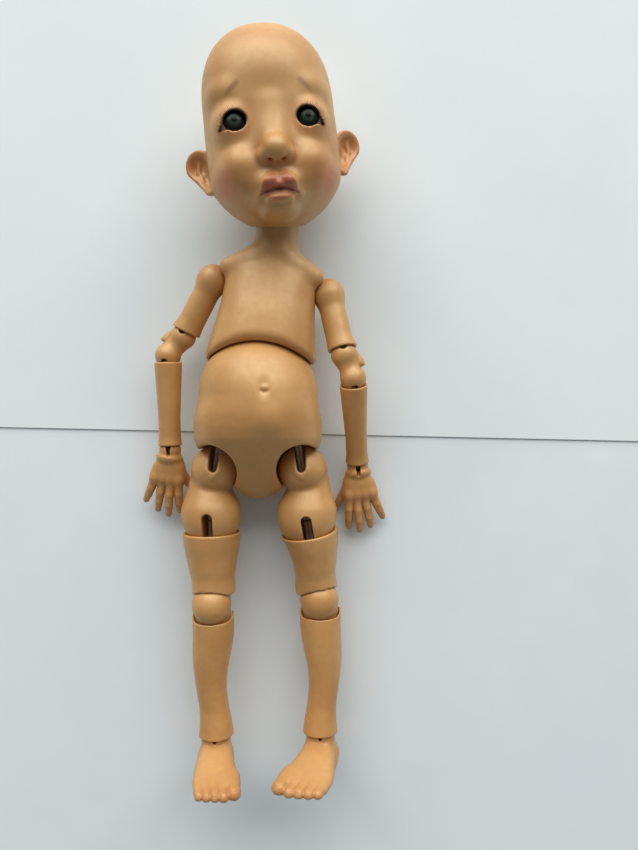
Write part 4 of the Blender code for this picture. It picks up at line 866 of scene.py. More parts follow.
carve("chest", chest_place, chest_field, (-22, -32, -CHEST[2] - 0.8), (22, 34, 20.5), BODY_STEP)

# %% [markdown]
# ## The belly and pelvis
# One piece: a ball on top, on which the chest rocks, then a full belly that hangs to a soft point and narrows
# between the hips. It is plain but for the navel, a small hooded dent a little to the doll's left of the middle.
# The hip balls sit in cups, and the thighs need room in front to swing up, which the sweep carves away.

# %% The pelvis
pelvis_place = Place(WAIST, (1, 0, 0), (0, 1, 0), (0, 0, 1))
PELVIS_TABLE = smooth_table((
    (0.100, 0.939, 1.000, 1.13), (0.0, 0.939, 1.000, 1.13), (-0.140, 0.965, 1.000, 0.97),
    (-0.280, 1.000, 0.985, 0.97), (-0.400, 1.000, 0.930, 0.97), (-0.500, 0.960, 0.820, 0.93), (-0.600, 0.860, 0.680, 0.86),
    (-0.720, 0.680, 0.500, 0.72), (-0.840, 0.480, 0.350, 0.52), (-0.940, 0.300, 0.200, 0.30),
    (-1.000, 0.120, 0.070, 0.12),
))
LOW_POINT = np.array((4.2, -8.6, 0))
NAVEL = np.array((3.9, 1.4, 21.15))
HIP_FLEX = (-5, 75)
BAR_PLACE = np.array((0, -11.1, -1.5))
BAR_HALF = np.array((17.6, 0, 0))
spine_way = unit(CHEST - WAIST)


def navel(d, p):
    d = carve_out(d, egg(p, NAVEL + (0, 1.4, 2.1), (1.5, 3.6, 1.5)), 2.4)
    d = melt(d, egg(p, NAVEL + (0, -0.2, -0.7), (1.1, 0.9, 1.0)), 1.2)
    fold = (NAVEL + (-0.9, -1.0, 0.6), NAVEL + (0, -1.45, 0.5), NAVEL + (0.9, -1.0, 0.6))
    return carve_out(d, sticks(p, fold, (0.25, 0.4, 0.25)), 0.9)


def pelvis_field(p):
    dome = length_of(p) - BELLY_RADIUS
    lower = trunk(p, 37.5, 22.9, 21.5, 19.0, PELVIS_TABLE, 2 + 0.35 * ramp(-p[:, 1], 0, 8))
    d = np.where(p[:, 1] >= 0, dome, lower)
    d = melt(d, egg(p, (2.6, -4.0, 6.5), (17.0, 15.2, 15.0)), 4.0)
    d = melt(d, egg(p, (LOW_POINT[0], LOW_POINT[1], 10.0), (7.5, 7.5, 11.8)), 3.5)
    d = navel(d, p)
    d = carve_out(d, egg(p, (0, 0, 0), (18.3, 18.3, WAIST[2] - 3.2)), 0.5)
    d = carve_out(d, stick(p, (0, 0, 0), spine_way * 26, 8.0), 0.5)
    for side, sign in SIDES.items():
        hip, thigh = (place - WAIST for place in pivots(side, "hip_turn", "thigh_flex"))
        up = axis_of("hip_turn_" + side) * sign
        down = unit(thigh - hip)
        swing = unit(np.cross(down, (0, 0, 1)))
        d = carve_out(d, stick(p, hip, hip + (0.5 * sign, 0, 15), 9.1, 9.3), 0.7)
        d = carve_out(d, stick(p, hip, hip + up * 20, LEG_BORE), 0.3)
        d = carve_out(d, swept(p, hip, down, swing, *HIP_FLEX, 17.7, 11.5), 0.4)
        d = carve_out(d, swept(p, hip, down, swing, *HIP_FLEX, 9.7, 7.1), 0.4)
    d = carve_out(d, stick(p, BAR_PLACE - BAR_HALF, BAR_PLACE + BAR_HALF, 1.35), 0.2)
    return keep_in(d, -WAIST[2] - p[:, 2], 0.6)


carve("pelvis", pelvis_place, pelvis_field, (-24.5, -39, -WAIST[2] - 0.8), (24.5, 22.5, 25.5), BODY_STEP)

# %% [markdown]
# ## Legs
# Each leg is five castings. The upper thigh is a hip ball that runs into a bigger thigh ball, with a slot in front
# of each for the elastic. The lower thigh and the shin are tubes with a cup at both ends, and the knee is a
# double ball, so that the leg folds far. A tube's rims are the crisp lines that give such a doll its look.

# %% Upper thighs and lower thighs
HIP_BALL = 8.8
THIGH_BALL = 10.8
KNEE_BALL = 6.6
SLOT_END = {"right": 92, "left": 95}


def kneecap(p, spare=0.0):
    return egg(p, (0, 3.0, 0.4), (7.05 + spare, 6.9 + spare, 7.5 + spare))


def upper_thigh(side):
    hip, thigh, knee = pivots(side, "hip_turn", "thigh_flex", "knee_upper")
    place, span = limb_between(hip, thigh)
    up = place.direction(axis_of("hip_turn_" + side) * SIDES[side])
    lower = place.direction(unit(knee - thigh))
    out = SIDES[side]

    def field(p):
        flesh = stick(p, (2.6 * out, -2.6, 1.6), (0.9 * out, -1.2, span - 3.5), 6.6, 9.7)
        flesh = melt(ball(p, (0, 0, span), THIGH_BALL), flesh, 3.0)
        d = melt(ball(p, (0, 0, 0), HIP_BALL), flesh, 1.3)
        lip = sticks(p, ((-2.0, 8.1, -0.6), (0, 8.35, 1.6), (2.0, 8.1, -0.6)), (0.5, 0.7, 0.5))
        d = melt(d, lip, 1.3)
        d = carve_out(d, fan(p, (0, 0, 0), up, (1, 0, 0), -2, 84, 2.35, 1.5), 0.45)
        swing = unit(np.cross(lower, (0, 1, 0)))
        d = carve_out(d, fan(p, (0, 0, span), lower, swing, -2, SLOT_END[side], 1.9), 0.45)
        return bored(d, p, span, LEG_BORE, 0.2)

    carve("upper_thigh_" + side, place, field, (-12.5, -12, -9.5), (12.5, 12, span + 11.5), BODY_STEP)


THIGH_TABLE = smooth_table((
    (0.00, 1.00), (0.18, 0.965), (0.36, 0.905), (0.58, 0.845), (0.78, 0.795), (1.00, 0.80),
))
# Share along, then how far the inner and the outer side are taken in, in millimetres
THIGH_TRIM = {"right": smooth_table(((0, 0, 0), (0.2, 0, 0), (0.6, 0.3, 0.4), (0.9, 0.1, 1.1), (1, 0, 1.0))),
              "left": smooth_table(((0, 0, 0), (0.2, 1.2, 0), (0.5, 1.5, 0.5), (0.9, 0.2, 1.4), (1, 0, 1.3)))}


def trimmed(p, out, share, table, base):
    """Points moved sideways so that a round limb loses a little on its inner and outer side."""
    outward = p[:, 0] * out
    trim = np.where(outward > 0, read(table, share, 2), read(table, share, 1))
    q = p.copy()
    q[:, 0] *= base / (base - trim)
    return q


def lower_thigh(side):
    thigh, knee, knee_low = pivots(side, "thigh_flex", "knee_upper", "knee_lower")
    place, span = limb_between(thigh, knee)
    knee_place = limb_place(knee, knee_low - knee)

    def field(p):
        share = (p[:, 2] - 5.6) / (span - 9.0)
        slim = trimmed(p, SIDES[side], share, THIGH_TRIM[side], 9.4)
        d = limb(slim, 5.6, span - 3.4, 10.6, THIGH_TABLE, 0.55)
        d = carve_out(d, ball(p, (0, 0, 0), THIGH_BALL + BALL_GAP), 0.35)
        d = carve_out(d, ball(p, (0, 0, span), KNEE_BALL + BALL_GAP), 0.35)
        d = carve_out(d, kneecap(knee_place.inside(place.outside(p)), BALL_GAP), 0.35)
        return bored(d, p, span, LEG_BORE, 0.3)

    carve("lower_thigh_" + side, place, field, (-11.5, -11.5, 4.5), (11.5, 11.5, span - 2.4), BODY_STEP)


for side in SIDES:
    upper_thigh(side)
    lower_thigh(side)

# %% [markdown]
# The knee's lower ball is fuller in front, like a kneecap, and covers most of the upper one. The shin swells into
# a calf and is narrowest above the ankle.

# %% Knees and shins
def knee(side):
    thigh, upper, lower, ankle = pivots(side, "thigh_flex", "knee_upper", "knee_lower", "ankle_turn")
    place, span = limb_between(upper, lower)
    thigh_way = place.direction(unit(upper - thigh))
    shank = place.direction(unit(ankle - lower))
    bend = place.direction(axis_of("knee_upper_" + side))

    def field(p):
        d = melt(ball(p, (0, 0, 0), KNEE_BALL), ball(p, (0, 0, span), KNEE_BALL), 0.7)
        d = melt(d, kneecap(p), 0.4)
        d = carve_out(d, fan(p, (0, 0, 0), -thigh_way, bend, -45, 0, 1.77), 0.35)
        d = carve_out(d, fan(p, (0, 0, span), shank, bend, 0, 45, 1.77), 0.35)
        return bored(d, p, span, LEG_BORE, 0.2)

    carve("knee_" + side, place, field, (-8.5, -8.5, -8.4), (8.5, 11, span + 8.4), BODY_STEP)


ANKLE_BALL = 5.1
SHIN_TABLE = smooth_table((
    (0.00, 1.01), (0.10, 1.01), (0.25, 0.98), (0.38, 0.90), (0.50, 0.81), (0.64, 0.735), (0.76, 0.715),
    (0.88, 0.775), (1.00, 0.85),
))
# The rim leaves room for the kneecap while the shin turns, in degrees
SHIN_TURNS = (-30, -15, 15, 30)


def shin(side):
    knee_top, knee_low, ankle = pivots(side, "knee_upper", "knee_lower", "ankle_turn")
    place, span = limb_between(knee_low, ankle)
    knee_place = limb_place(knee_top, knee_low - knee_top)

    def field(p):
        bow = 1.45 * np.sin(math.pi * np.clip((p[:, 2] / span - 0.08) / 0.84, 0, 1)) ** 2
        bowed = p - stacked(SIDES[side] * bow, 0, 0)
        d = limb(bowed, -0.6, span - 1.9, 7.5, SHIN_TABLE, 0.4)
        d = carve_out(d, np.maximum(p[:, 2] - 3.2, p[:, 1] + 2.5), 0.8)
        cap = kneecap(knee_place.inside(place.outside(p)), BALL_GAP)
        for angle in np.radians(SHIN_TURNS):
            spun = stacked(p[:, 0] * math.cos(angle) - p[:, 1] * math.sin(angle),
                           p[:, 0] * math.sin(angle) + p[:, 1] * math.cos(angle), p[:, 2])
            cap = np.minimum(cap, kneecap(knee_place.inside(place.outside(spun)), 0.3))
        calf = egg(bowed, (0.6 * SIDES[side], -1.9, 14), (5.9, 5.9, 11))
        d = melt(d, calf, 1.5)
        d = carve_out(d, ball(p, (0, 0, 0), KNEE_BALL + BALL_GAP), 0.3)
        d = carve_out(d, cap, 0.3)
        d = carve_out(d, ball(p, (0, 0, span), ANKLE_BALL + BALL_GAP), 0.3)
        return bored(d, p, span, LEG_BORE, 0.3)

    carve("shin_" + side, place, field, (-10, -9, -1.6), (10, 9, span - 1.0), 0.44)


for side in SIDES:
    knee(side)
    shin(side)

# %% [markdown]
# ## Feet
# A child's foot: a high instep, a round heel, a wide front and five short toes in a falling row. The sole is flat
# enough to stand on. The foot is a stacked form with the toes and the ankle ball melted on, and a slot in front
# of the ball lets the hook tip.

# %% Feet
FOOT_TURN = {"right": 9.0, "left": -17.5}
FOOT_PITCH = 5.0
ANKLE_HEIGHT = 10.8
FOOT_LENGTH = 27.5
FOOT_HALF_WIDTH = 7.7
FOOT_TABLE = smooth_table((
    (-0.320, 0.40, 0.40), (-0.295, 0.60, 0.62), (-0.200, 0.76, 0.86), (-0.050, 0.80, 0.98), (0.110, 0.79, 0.98),
    (0.280, 0.83, 0.84), (0.450, 0.91, 0.66), (0.620, 0.975, 0.47), (0.740, 0.98, 0.33), (0.830, 0.93, 0.24),
))
# Share of the half width across, of the length and of the half width as radius, from the big toe out
TOES = ((-0.71, 1.000, 0.275), (-0.29, 1.010, 0.205), (0.07, 0.990, 0.198), (0.42, 0.960, 0.190),
        (0.745, 0.915, 0.182))
FOOT_SPREAD = {"right": 0.03, "left": 0.17}
ANKLE_SWEEP = (-20, 35)


def foot_place(side, ankle):
    pitch, turn = math.radians(FOOT_PITCH), math.radians(FOOT_TURN[side])
    toes = np.array((math.cos(pitch) * math.sin(turn), math.sin(pitch), math.cos(pitch) * math.cos(turn)))
    up = unit(np.array((0, 1, 0)) - toes * toes[1])
    return Place(ankle - up * ANKLE_HEIGHT, np.cross(up, toes), up, toes)


def hook_room(d, p, centre, way_in, bend, low, high, front, front_angle):
    """The slot, which runs on to the front, and the round room for a wire hook, with the pin that it hooks on."""
    q = p - np.array(centre)
    if np.cross(bend, way_in) @ np.array(front, float) > 0:
        d = carve_out(d, fan(p, centre, way_in, bend, high, front_angle, 1.05, 0.6), 0.3)
    else:
        d = carve_out(d, fan(p, centre, way_in, bend, -front_angle, low, 0.6, 1.05), 0.3)
    aside = q @ bend
    across = length_of(q - aside[:, None] * bend)
    d = carve_out(d, fan(p, centre, way_in, bend, low, high, 0.85), 0.3)
    d = carve_out(d, np.maximum(across - 2.3, np.abs(aside) - 0.8), 0.15)
    return np.minimum(d, np.maximum(across - 0.7, np.abs(aside) - 1.2))


def toe(q, across, length, thick):
    """A short rod with a round tip and a nail."""
    r = thick * FOOT_HALF_WIDTH
    x = across * FOOT_HALF_WIDTH
    tip = length * FOOT_LENGTH - r
    d = stick(q, (x * 0.96, r * 1.05 + 1.1, 15.0), (x, r + 0.3, tip - 0.6), r * 1.12, r * 0.98)
    d = melt(d, egg(q, (x, r * 0.98, tip - 0.1), (r, r * 0.98, r)), 0.7)
    return melt(d, egg(q, (x, r * 1.84, tip + 0.45), (r * 0.5, 0.16, r * 0.5)), 0.2)


def foot(side):
    knee_low, ankle = pivots(side, "knee_lower", "ankle_turn")
    place = foot_place(side, ankle)
    shank = place.direction(unit(ankle - knee_low))
    bend = place.direction(axis_of("ankle_flex_" + side))
    ankle_spot = (0, ANKLE_HEIGHT, 0)
    out = SIDES[side]

    def field(p):
        q = p * (out, 1, 1)
        q[:, 0] /= 1 + FOOT_SPREAD[side] * ramp(q[:, 2], 2, 18)
        t = q[:, 2] / FOOT_LENGTH
        q[:, 0] /= 1 + 0.2 * np.exp(-(((t - 0.28) / 0.28) ** 2)) * np.clip(q[:, 0] / 3, 0, 1)
        wide, wide_slope = sized(FOOT_TABLE, t, 1, FOOT_HALF_WIDTH, FOOT_LENGTH)
        tall, tall_slope = sized(FOOT_TABLE, t, 2, ANKLE_HEIGHT, FOOT_LENGTH)
        d = section(q[:, 0], q[:, 1] - tall * 0.38, wide, tall * 0.62, wide_slope, tall_slope, 2.3)
        d = keep_in(d, np.maximum(-8.8 - q[:, 2], q[:, 2] - 21.6), 1.5)
        d = melt(d, stick(q, ankle_spot, (0, 3.3, 0), 4.7, 5.5), 2.2)
        d = melt(d, egg(q, (-3.4, 2.7, 17.0), (3.3, 2.5, 6.0)), 2.2)
        d = melt(d, melted([toe(q, *row) for row in TOES], 0.3), 1.0)
        d = carve_out(d, swept(p, ankle_spot, -shank, bend, *ANKLE_SWEEP, 14, 13.6), 0.6)
        d = melt(d, ball(q, ankle_spot, ANKLE_BALL), 0.6)
        d = hook_room(d, p, ankle_spot, -shank, bend, *ANKLE_SWEEP, (0, 0, 1), 78)
        return keep_in(d, -q[:, 1], 0.6)

    def paint(p):
        q = p * (out, 1, 1)
        tips = glow(np.abs(q[:, 2] - 25) - 1.0, 3.0) * np.clip(1.4 - q[:, 1] / 4, 0, 1)
        return {"blush": 0.14 * tips}

    carve("foot_" + side, place, field, (-9.5, -0.8, -10), (9.5, 17, 29), 0.36, paint)


for side in SIDES:
    foot(side)

# %% [markdown]
# ## Arms
# An arm is four castings. The upper arm has a ball at the shoulder, slotted so that it can lift, the elbow is a
# small double ball with a waist, and the forearm is a tapering tube.

# %% Upper arms, elbows and forearms
ELBOW_BALL = 4.7
WRIST_BALL = 4.0
UPPER_ARM_TABLE = smooth_table(((0.00, 0.86), (0.25, 0.96), (0.50, 0.98), (0.75, 0.97), (1.00, 1.04)))
FOREARM_TABLE = smooth_table((
    (0.00, 0.97), (0.20, 0.91), (0.45, 0.83), (0.70, 0.77), (0.88, 0.78), (1.00, 0.86),
))


def upper_arm(side):
    shoulder, elbow_top = pivots(side, "shoulder_swing", "elbow_upper")
    place, span = limb_between(shoulder, elbow_top)
    inward = place.direction(unit(CHEST - shoulder))
    lift = place.direction(np.array((0, 0, SIDES[side])))

    def field(p):
        slim = np.where(p[:, 0] * SIDES[side] > 0, 1.15, 1.0)
        slim = slim + (1 - slim) * np.clip((p[:, 2] - span + 7) / 5, 0, 1)
        q = p * stacked(slim, 1, 1)
        d = limb(q, 0, span - 2.3, 5.2, UPPER_ARM_TABLE, 0.5)
        d = melt(d, ball(q, (0, 0, 0), SHOULDER_BALL), 1.6)
        d = carve_out(d, ball(p, (0, 0, span), ELBOW_BALL + BALL_GAP), 0.3)
        d = carve_out(d, fan(p, (0, 0, 0), inward, lift, -75, 0, 1.37), 0.35)
        return bored(d, p, span, ARM_BORE, 0.3)

    carve("upper_arm_" + side, place, field, (-7, -7, -7), (7, 7, span - 1.4), 0.42)


def elbow(side):
    shoulder, top, low, wrist = pivots(side, "shoulder_swing", "elbow_upper", "elbow_lower", "wrist_turn")
    place, span = limb_between(top, low)
    upper_way = place.direction(unit(top - shoulder))
    fore_way = place.direction(unit(wrist - low))
    bend = place.direction(axis_of("elbow_upper_" + side))
    out = SIDES[side]

    def field(p):
        d = melt(ball(p, (0, 0, 0), ELBOW_BALL), ball(p, (0, 0, span), ELBOW_BALL), 0.8)
        d = melt(d, stick(p, (0, 0, 1.5), (0, 0, span - 1.5), 3.6), 0.9)
        block = stick(p, (0.2 * out, -0.2, 0.6), (1.3 * out, -0.4, 4.6), 4.5, 4.7)
        block = keep_in(keep_in(block, p[:, 2] - 6.0, 0.4), p[:, 1] - 1.6, 1.4)
        d = melt(d, block, 0.5)
        d = carve_out(d, fan(p, (0, 0, 0), -upper_way, bend, -60, 0, 1.1), 0.3)
        d = carve_out(d, fan(p, (0, 0, span), fore_way, bend, 0, 60, 1.1), 0.3)
        return bored(d, p, span, ARM_BORE, 0.2)

    carve("elbow_" + side, place, field, (-7.2, -6.4, -5.6), (7.2, 6.4, span + 5.6), 0.36)


def forearm(side):
    place, span = limb_between(*pivots(side, "elbow_lower", "wrist_turn"))

    def field(p):
        d = limb(p, 2.3, span - 1.7, 5.2, FOREARM_TABLE, 0.45)
        d = carve_out(d, ball(p, (0, 0, 0), ELBOW_BALL + BALL_GAP), 0.3)
        d = carve_out(d, ball(p, (0, 0, span), WRIST_BALL + BALL_GAP), 0.3)
        return bored(d, p, span, ARM_BORE, 0.3)

    carve("forearm_" + side, place, field, (-6, -6, 1.4), (6, 6, span - 0.8), 0.42)


for side in SIDES:
    upper_arm(side)
    elbow(side)
    forearm(side)

# %% [markdown]
# ## Hands
# Small plump hands lie with their backs up and the thumbs towards the body. Each finger is three short rods that
# curl a little more from one to the next, melted together with soft knuckles, and the nails are just hinted at.

# %% Hands
PALM_LENGTH = 12.5
PALM_HALF_WIDTH = 6.6
PALM_HALF_THICKNESS = 2.9
PALM_TABLE = smooth_table((
    (0.16, 0.60, 0.95), (0.30, 0.66, 1.00), (0.50, 0.86, 1.00), (0.74, 0.96, 0.92), (0.92, 0.93, 0.74),
    (1.04, 0.78, 0.46),
))
# Share of the palm's half width across and of the finger's length, spread and curl, from the index finger out
FINGERS = ((-0.66, 1.00, -6, 12), (-0.22, 1.10, -1, 6), (0.23, 1.03, 5, 10), (0.66, 0.86, 18, 16))
FINGER_LENGTH = 13.6
FINGER_RADIUS = 1.75
WRIST_SWEEP = (-40, 30)


def way(lean, rise):
    lean, rise = math.radians(lean), math.radians(rise)
    return np.array((math.sin(lean) * math.cos(rise), -math.cos(lean) * math.cos(rise), math.sin(rise)))


PALM_WAYS = {"right": way(-7.7, -6.0), "left": way(6.2, -0.6)}


def finger_way(spread, curl):
    spread, curl = math.radians(spread), math.radians(curl)
    return np.array((math.sin(spread), -math.cos(spread) * math.sin(curl), math.cos(spread) * math.cos(curl)))


def finger(q, root, spread, curl, length, radius):
    """Three rods that curl, with a soft tip and a nail on the back."""
    spots = [np.array(root, float)]
    for share, more in ((0.42, -5), (0.31, 3), (0.27, 12)):
        spots.append(spots[-1] + finger_way(spread, curl + more) * (length - radius * 0.7) * share)
    d = sticks(q, spots, (radius, radius * 0.93, radius * 0.84, radius * 0.68))
    for spot, size in zip(spots[1:3], (0.84, 0.74)):
        d = melt(d, ball(q, spot + (0, 0.16, 0), radius * size), 0.5)
    aim = finger_way(spread, curl + 12)
    rise = unit(np.cross(aim, np.cross((0, 1, 0), aim)))
    nail = spots[3] + rise * radius * 0.58 - aim * 0.1
    turn = np.array([unit(np.cross(rise, aim)), rise, aim])
    return melt(d, egg(q, nail, (radius * 0.48, 0.18, radius * 0.62), turn), 0.15)


def hand(side):
    low, wrist = pivots(side, "elbow_lower", "wrist_turn")
    place = limb_place(wrist, PALM_WAYS[side])
    fore_way = place.direction(unit(wrist - low))
    bend = place.direction(axis_of("wrist_bend_" + side))
    out = SIDES[side]

    def field(p):
        q = p * (out, 1, 1)
        t = q[:, 2] / PALM_LENGTH
        wide, wide_slope = sized(PALM_TABLE, t, 1, PALM_HALF_WIDTH, PALM_LENGTH)
        deep, deep_slope = sized(PALM_TABLE, t, 2, PALM_HALF_THICKNESS, PALM_LENGTH)
        d = section(q[:, 0], q[:, 1], wide, deep, wide_slope, deep_slope, 2.4)
        d = keep_in(d, np.maximum(2.0 - q[:, 2], q[:, 2] - 13.0), 1.4)
        d = melt(d, egg(q, (0, 0.1, 2.8), (4.9, 4.1, 2.7)), 0.8)
        d = melt(d, ball(q, (0, 0, 0), WRIST_BALL), 0.6)
        fingers = []
        for across, length, spread, curl in FINGERS:
            root = (across * PALM_HALF_WIDTH, 0.1, PALM_LENGTH * 0.90)
            one = finger(q, root, spread, curl, length * FINGER_LENGTH, FINGER_RADIUS)
            fingers.append(melt(one, ball(q, (root[0] * 0.98, 0.45, root[2] - 0.4), 1.65), 1.2))
        d = melt(d, melted(fingers, 0.35), 1.6)
        thumb = finger(q, (-2.97, -0.3, 5.0), -31, 24, 1.02 * FINGER_LENGTH, FINGER_RADIUS * 1.08)
        thumb = melt(thumb, egg(q, (-3.6, -0.5, 6.2), (2.4, 2.1, 3.4)), 1.2)
        d = melt(d, thumb, 1.2)
        return hook_room(d, p, (0, 0, 0), -fore_way, bend, *WRIST_SWEEP, (0, 1, 0), 112)

    def paint(p):
        q = p * (out, 1, 1)
        knuckles = glow(np.abs(q[:, 2] - 11.4) - 0.6, 1.2) * np.clip(q[:, 1], 0, 1)
        tips = np.clip((q[:, 2] - 18) / 6, 0, 1)
        return {"blush": 0.14 * np.maximum(knuckles, tips)}

    carve("hand_" + side, place, field, (-13.5, -8.5, -5), (13.5, 5.5, 27), 0.32, paint)


for side in SIDES:
    hand(side)

# %% [markdown]
# ## Tubes
# Cords, wires, pins and lashes are all the same thing to a maker: a path with a thickness. A tube follows the
# path with rings that don't twist, and closes with a point at each end, so it is one sealed form.

# %% Tubes along a path
def ring_faces(rings, sides):
    """Triangles round a stack of rings. A point after the last ring closes the start and one more the end."""
    i = np.arange(sides)
    j = (i + 1) % sides
    end = (rings - 1) * sides
    faces = [stacked(rings * sides, j, i), stacked(rings * sides + 1, end + i, end + j)]
    for a in range(0, end, sides):
        b = a + sides
        faces += [stacked(a + i, a + j, b + j), stacked(a + i, b + j, b + i)]
    return np.concatenate(faces)


def tube(path, radii, sides=12):
    """A path with one radius for each point, or one for each side at each point."""
    path = np.array(path, float)
    ways = np.gradient(path, axis=0)
    ways = ways / np.maximum(length_of(ways), 1e-9)[:, None]
    side = unit(np.cross(ways[0], (0.31, 0.17, 0.94)))
    turns = np.arange(sides) * 2 * math.pi / sides
    rings = []
    for place, aim, radius in zip(path, ways, radii):
        side = unit(side - aim * (side @ aim))
        ring = np.cos(turns)[:, None] * side + np.sin(turns)[:, None] * np.cross(aim, side)
        rings.append(place + ring * np.reshape(radius, (-1, 1)))
    return np.concatenate(rings + [path[:1], path[-1:]]), ring_faces(len(path), sides)


def together(parts):
    """Several tubes as one set of points and faces."""
    points, faces, count = [], [], 0
    for more_points, more_faces in parts:
        points.append(more_points)
        faces.append(more_faces + count)
        count += len(more_points)
    return np.concatenate(points), np.concatenate(faces)


# %% [markdown]
# ## Braided elastic
# The elastic is a doubled loop of thin braided cord, so two pale strands lie side by side in every slot. The
# frame carries one plain round solid for each stretch. Here each stretch becomes two strands whose skin is
# raised in crossing ribs, as a braid is, and they fill the space of that solid.

# %% The elastic
def elastic_finish():
    work = Bench("braided_elastic")
    dust = work.spread(work.noise(1.1, 3.0, 0.6), 0.35, 0.7)
    colour = work.mix(dust, tone(240, 230, 206), tone(222, 206, 176))
    # Painted shade: the braid is darker in the grooves between its ribs
    colour = work.mix(work.sum("MULTIPLY", work.mark("groove_shade"), 0.3), colour, tone(160, 132, 98))
    work.set(Base_Color=colour, Roughness=0.82, Sheen_Weight=0.25)
    work.bump(work.noise(0.12, 2.0), 0.5, 0.03)
    return work.material


def stretch_of(node):
    """The ends and the radius of a cord, read from the frame."""
    points = np.array([vertex.co for vertex in frame["nodes"][node].data.vertices]) / MM
    centre = points.mean(0)
    way_along = np.linalg.svd(points - centre, full_matrices=False)[2][0]
    along = (points - centre) @ way_along
    across = points - centre - along[:, None] * way_along
    centre = centre + (across.max(0) + across.min(0)) / 2
    radius = length_of(points - centre - ((points - centre) @ way_along)[:, None] * way_along).max()
    along = (points - centre) @ way_along
    return centre + way_along * along.min(), centre + way_along * along.max(), radius


def strand(start, end, radius, sides=14):
    """Half of the braid: its points, its faces and how deep each point lies between the ribs."""
    length = np.linalg.norm(end - start)
    middle = np.linspace(0.36, max(length - 0.36, 0.4), max(4, int(length / 0.26)))
    tip = np.array((0.0, 0.04, 0.16))
    heights = np.clip(np.concatenate([tip, middle, length - tip[::-1]]), 0, length)
    turn = np.arange(sides) * 2 * math.pi / sides
    pitch = 2 * math.pi / 2.6
    climb = pitch * heights[:, None] * 2
    rib = np.maximum(np.sin(3 * turn + climb), np.sin(3 * turn - climb))
    depth = np.minimum(heights, length - heights)
    ends = np.sqrt(np.clip(1 - (1 - np.clip(depth / 0.35, 0, 1)) ** 2, 0.01, 1))
    path = start + (end - start) * (heights / length)[:, None]
    points, faces = tube(path, radius * ends[:, None] * (0.90 + 0.10 * rib), sides)
    # How deep each point lies between the ribs, which the finish darkens as painted shade
    groove_shade = np.concatenate([np.clip(0.45 - 0.6 * rib, 0, 1).ravel(), [0.3, 0.3]])
    return points, faces, groove_shade


elastic = elastic_finish()
cords = [node for node in frame["nodes"] if "elastic" in node]
for node in cords:
    start, end, radius = stretch_of(node)
    aside = unit(np.cross(end - start, (0, 0, 1))) * radius * 0.5
    strands = [strand(start + aside * sign, end + aside * sign, radius * 0.49) for sign in (-1, 1)]
    points, faces = together([item[:2] for item in strands])
    groove_shades = np.concatenate([item[2] for item in strands])
    piece = mesh_object(node + "_braid", points, faces, {"groove_shade": groove_shades})
    settle(piece, node, elastic)
print(len(cords), "stretches of elastic")

# %% [markdown]
# ## Wire hooks, the bar and the magnets
# Bent wire hooks hold the hands, the feet and the head on the ends of the elastic. A hook is one wire whose end
# curls round a pin. The bar in the pelvis carries the leg elastic, and small plated discs hold the cap. The wire
# has fine drawing lines and the plating a few dull patches.

# %% Steel and plating
def metal(name, patches, patch_edges, bright, dull, roughness, grain):
    """Bright metal that is duller in patches. The grain is its size in millimetres and its strength."""
    work = Bench(name)
    wear = work.spread(work.noise(*patches), *patch_edges)
    work.set(Base_Color=work.mix(wear, bright, dull), Metallic=1.0,
             Roughness=work.spread(wear, 0, 1, *roughness))
    work.bump(work.noise(grain[0], 2.0), grain[1], 0.01)
    return work.material


steel = metal("drawn_steel", (0.8, 4.0, 0.7), (0.35, 0.7), tone(176, 176, 178), tone(120, 116, 112),
              (0.24, 0.48), (0.1, 0.25))
plating = metal("plated_magnet", (0.6, 3.0, 0.6), (0.45, 0.65), tone(208, 208, 210), tone(150, 148, 150),
                (0.12, 0.38), (0.2, 0.2))


def turned(vector, axis, degrees):
    angle = math.radians(degrees)
    vector, axis = np.array(vector, float), unit(axis)
    return (vector * math.cos(angle) + np.cross(axis, vector) * math.sin(angle)
            + axis * (axis @ vector) * (1 - math.cos(angle)))


def hook(node, start, centre, loop, axis):
    """A wire that comes down its shank and curls round a pin."""
    shank = unit(start - centre)
    path = [start + (centre - start) * share for share in np.linspace(0, 1, 9)[:-1]]
    path = [spot for spot in path if np.linalg.norm(spot - centre) > loop + 1.0]
    path.append(centre + shank * (loop + 0.7))
    path.append(centre + turned(shank, axis, 9) * (loop + 0.22))
    path += [centre + turned(shank, axis, angle) * loop for angle in np.linspace(28, 290, 26)]
    radii = np.full(len(path), 0.5)
    radii[0] = radii[-1] = 0.42
    settle(mesh_object(node + "_wire", *tube(path, radii)), node, steel)


for side in SIDES:
    wrist, fore = pivot("wrist_turn_" + side), axis_of("wrist_turn_" + side)
    hook("wrist_hook_" + side, wrist - fore * 5.8, wrist, 1.5, axis_of("wrist_bend_" + side))
    ankle, shank = pivot("ankle_turn_" + side), axis_of("ankle_turn_" + side)
    hook("ankle_hook_" + side, ankle - shank * 6.5, ankle, 1.5, axis_of("ankle_flex_" + side))
hook("neck_hook", NECK + HEAD_Y * 6.9, NECK + HEAD_Y * HEAD_BAR_HEIGHT, 1.8, head_turn.turn[0])


def round_bar(node, start, end, radius, finish, soft):
    """A short round piece with its edges taken off."""
    way_along = unit(end - start)
    length = np.linalg.norm(end - start)
    steps = [0, soft * 0.3, soft, length / 2, length - soft, length - soft * 0.3, length]
    radii = [radius - soft, radius - soft * 0.3, radius, radius, radius, radius - soft * 0.3, radius - soft]
    piece = mesh_object(node + "_turned", *tube([start + way_along * step for step in steps], radii, 28))
    piece.data.set_sharp_from_angle(angle=math.radians(40))
    settle(piece, node, finish)


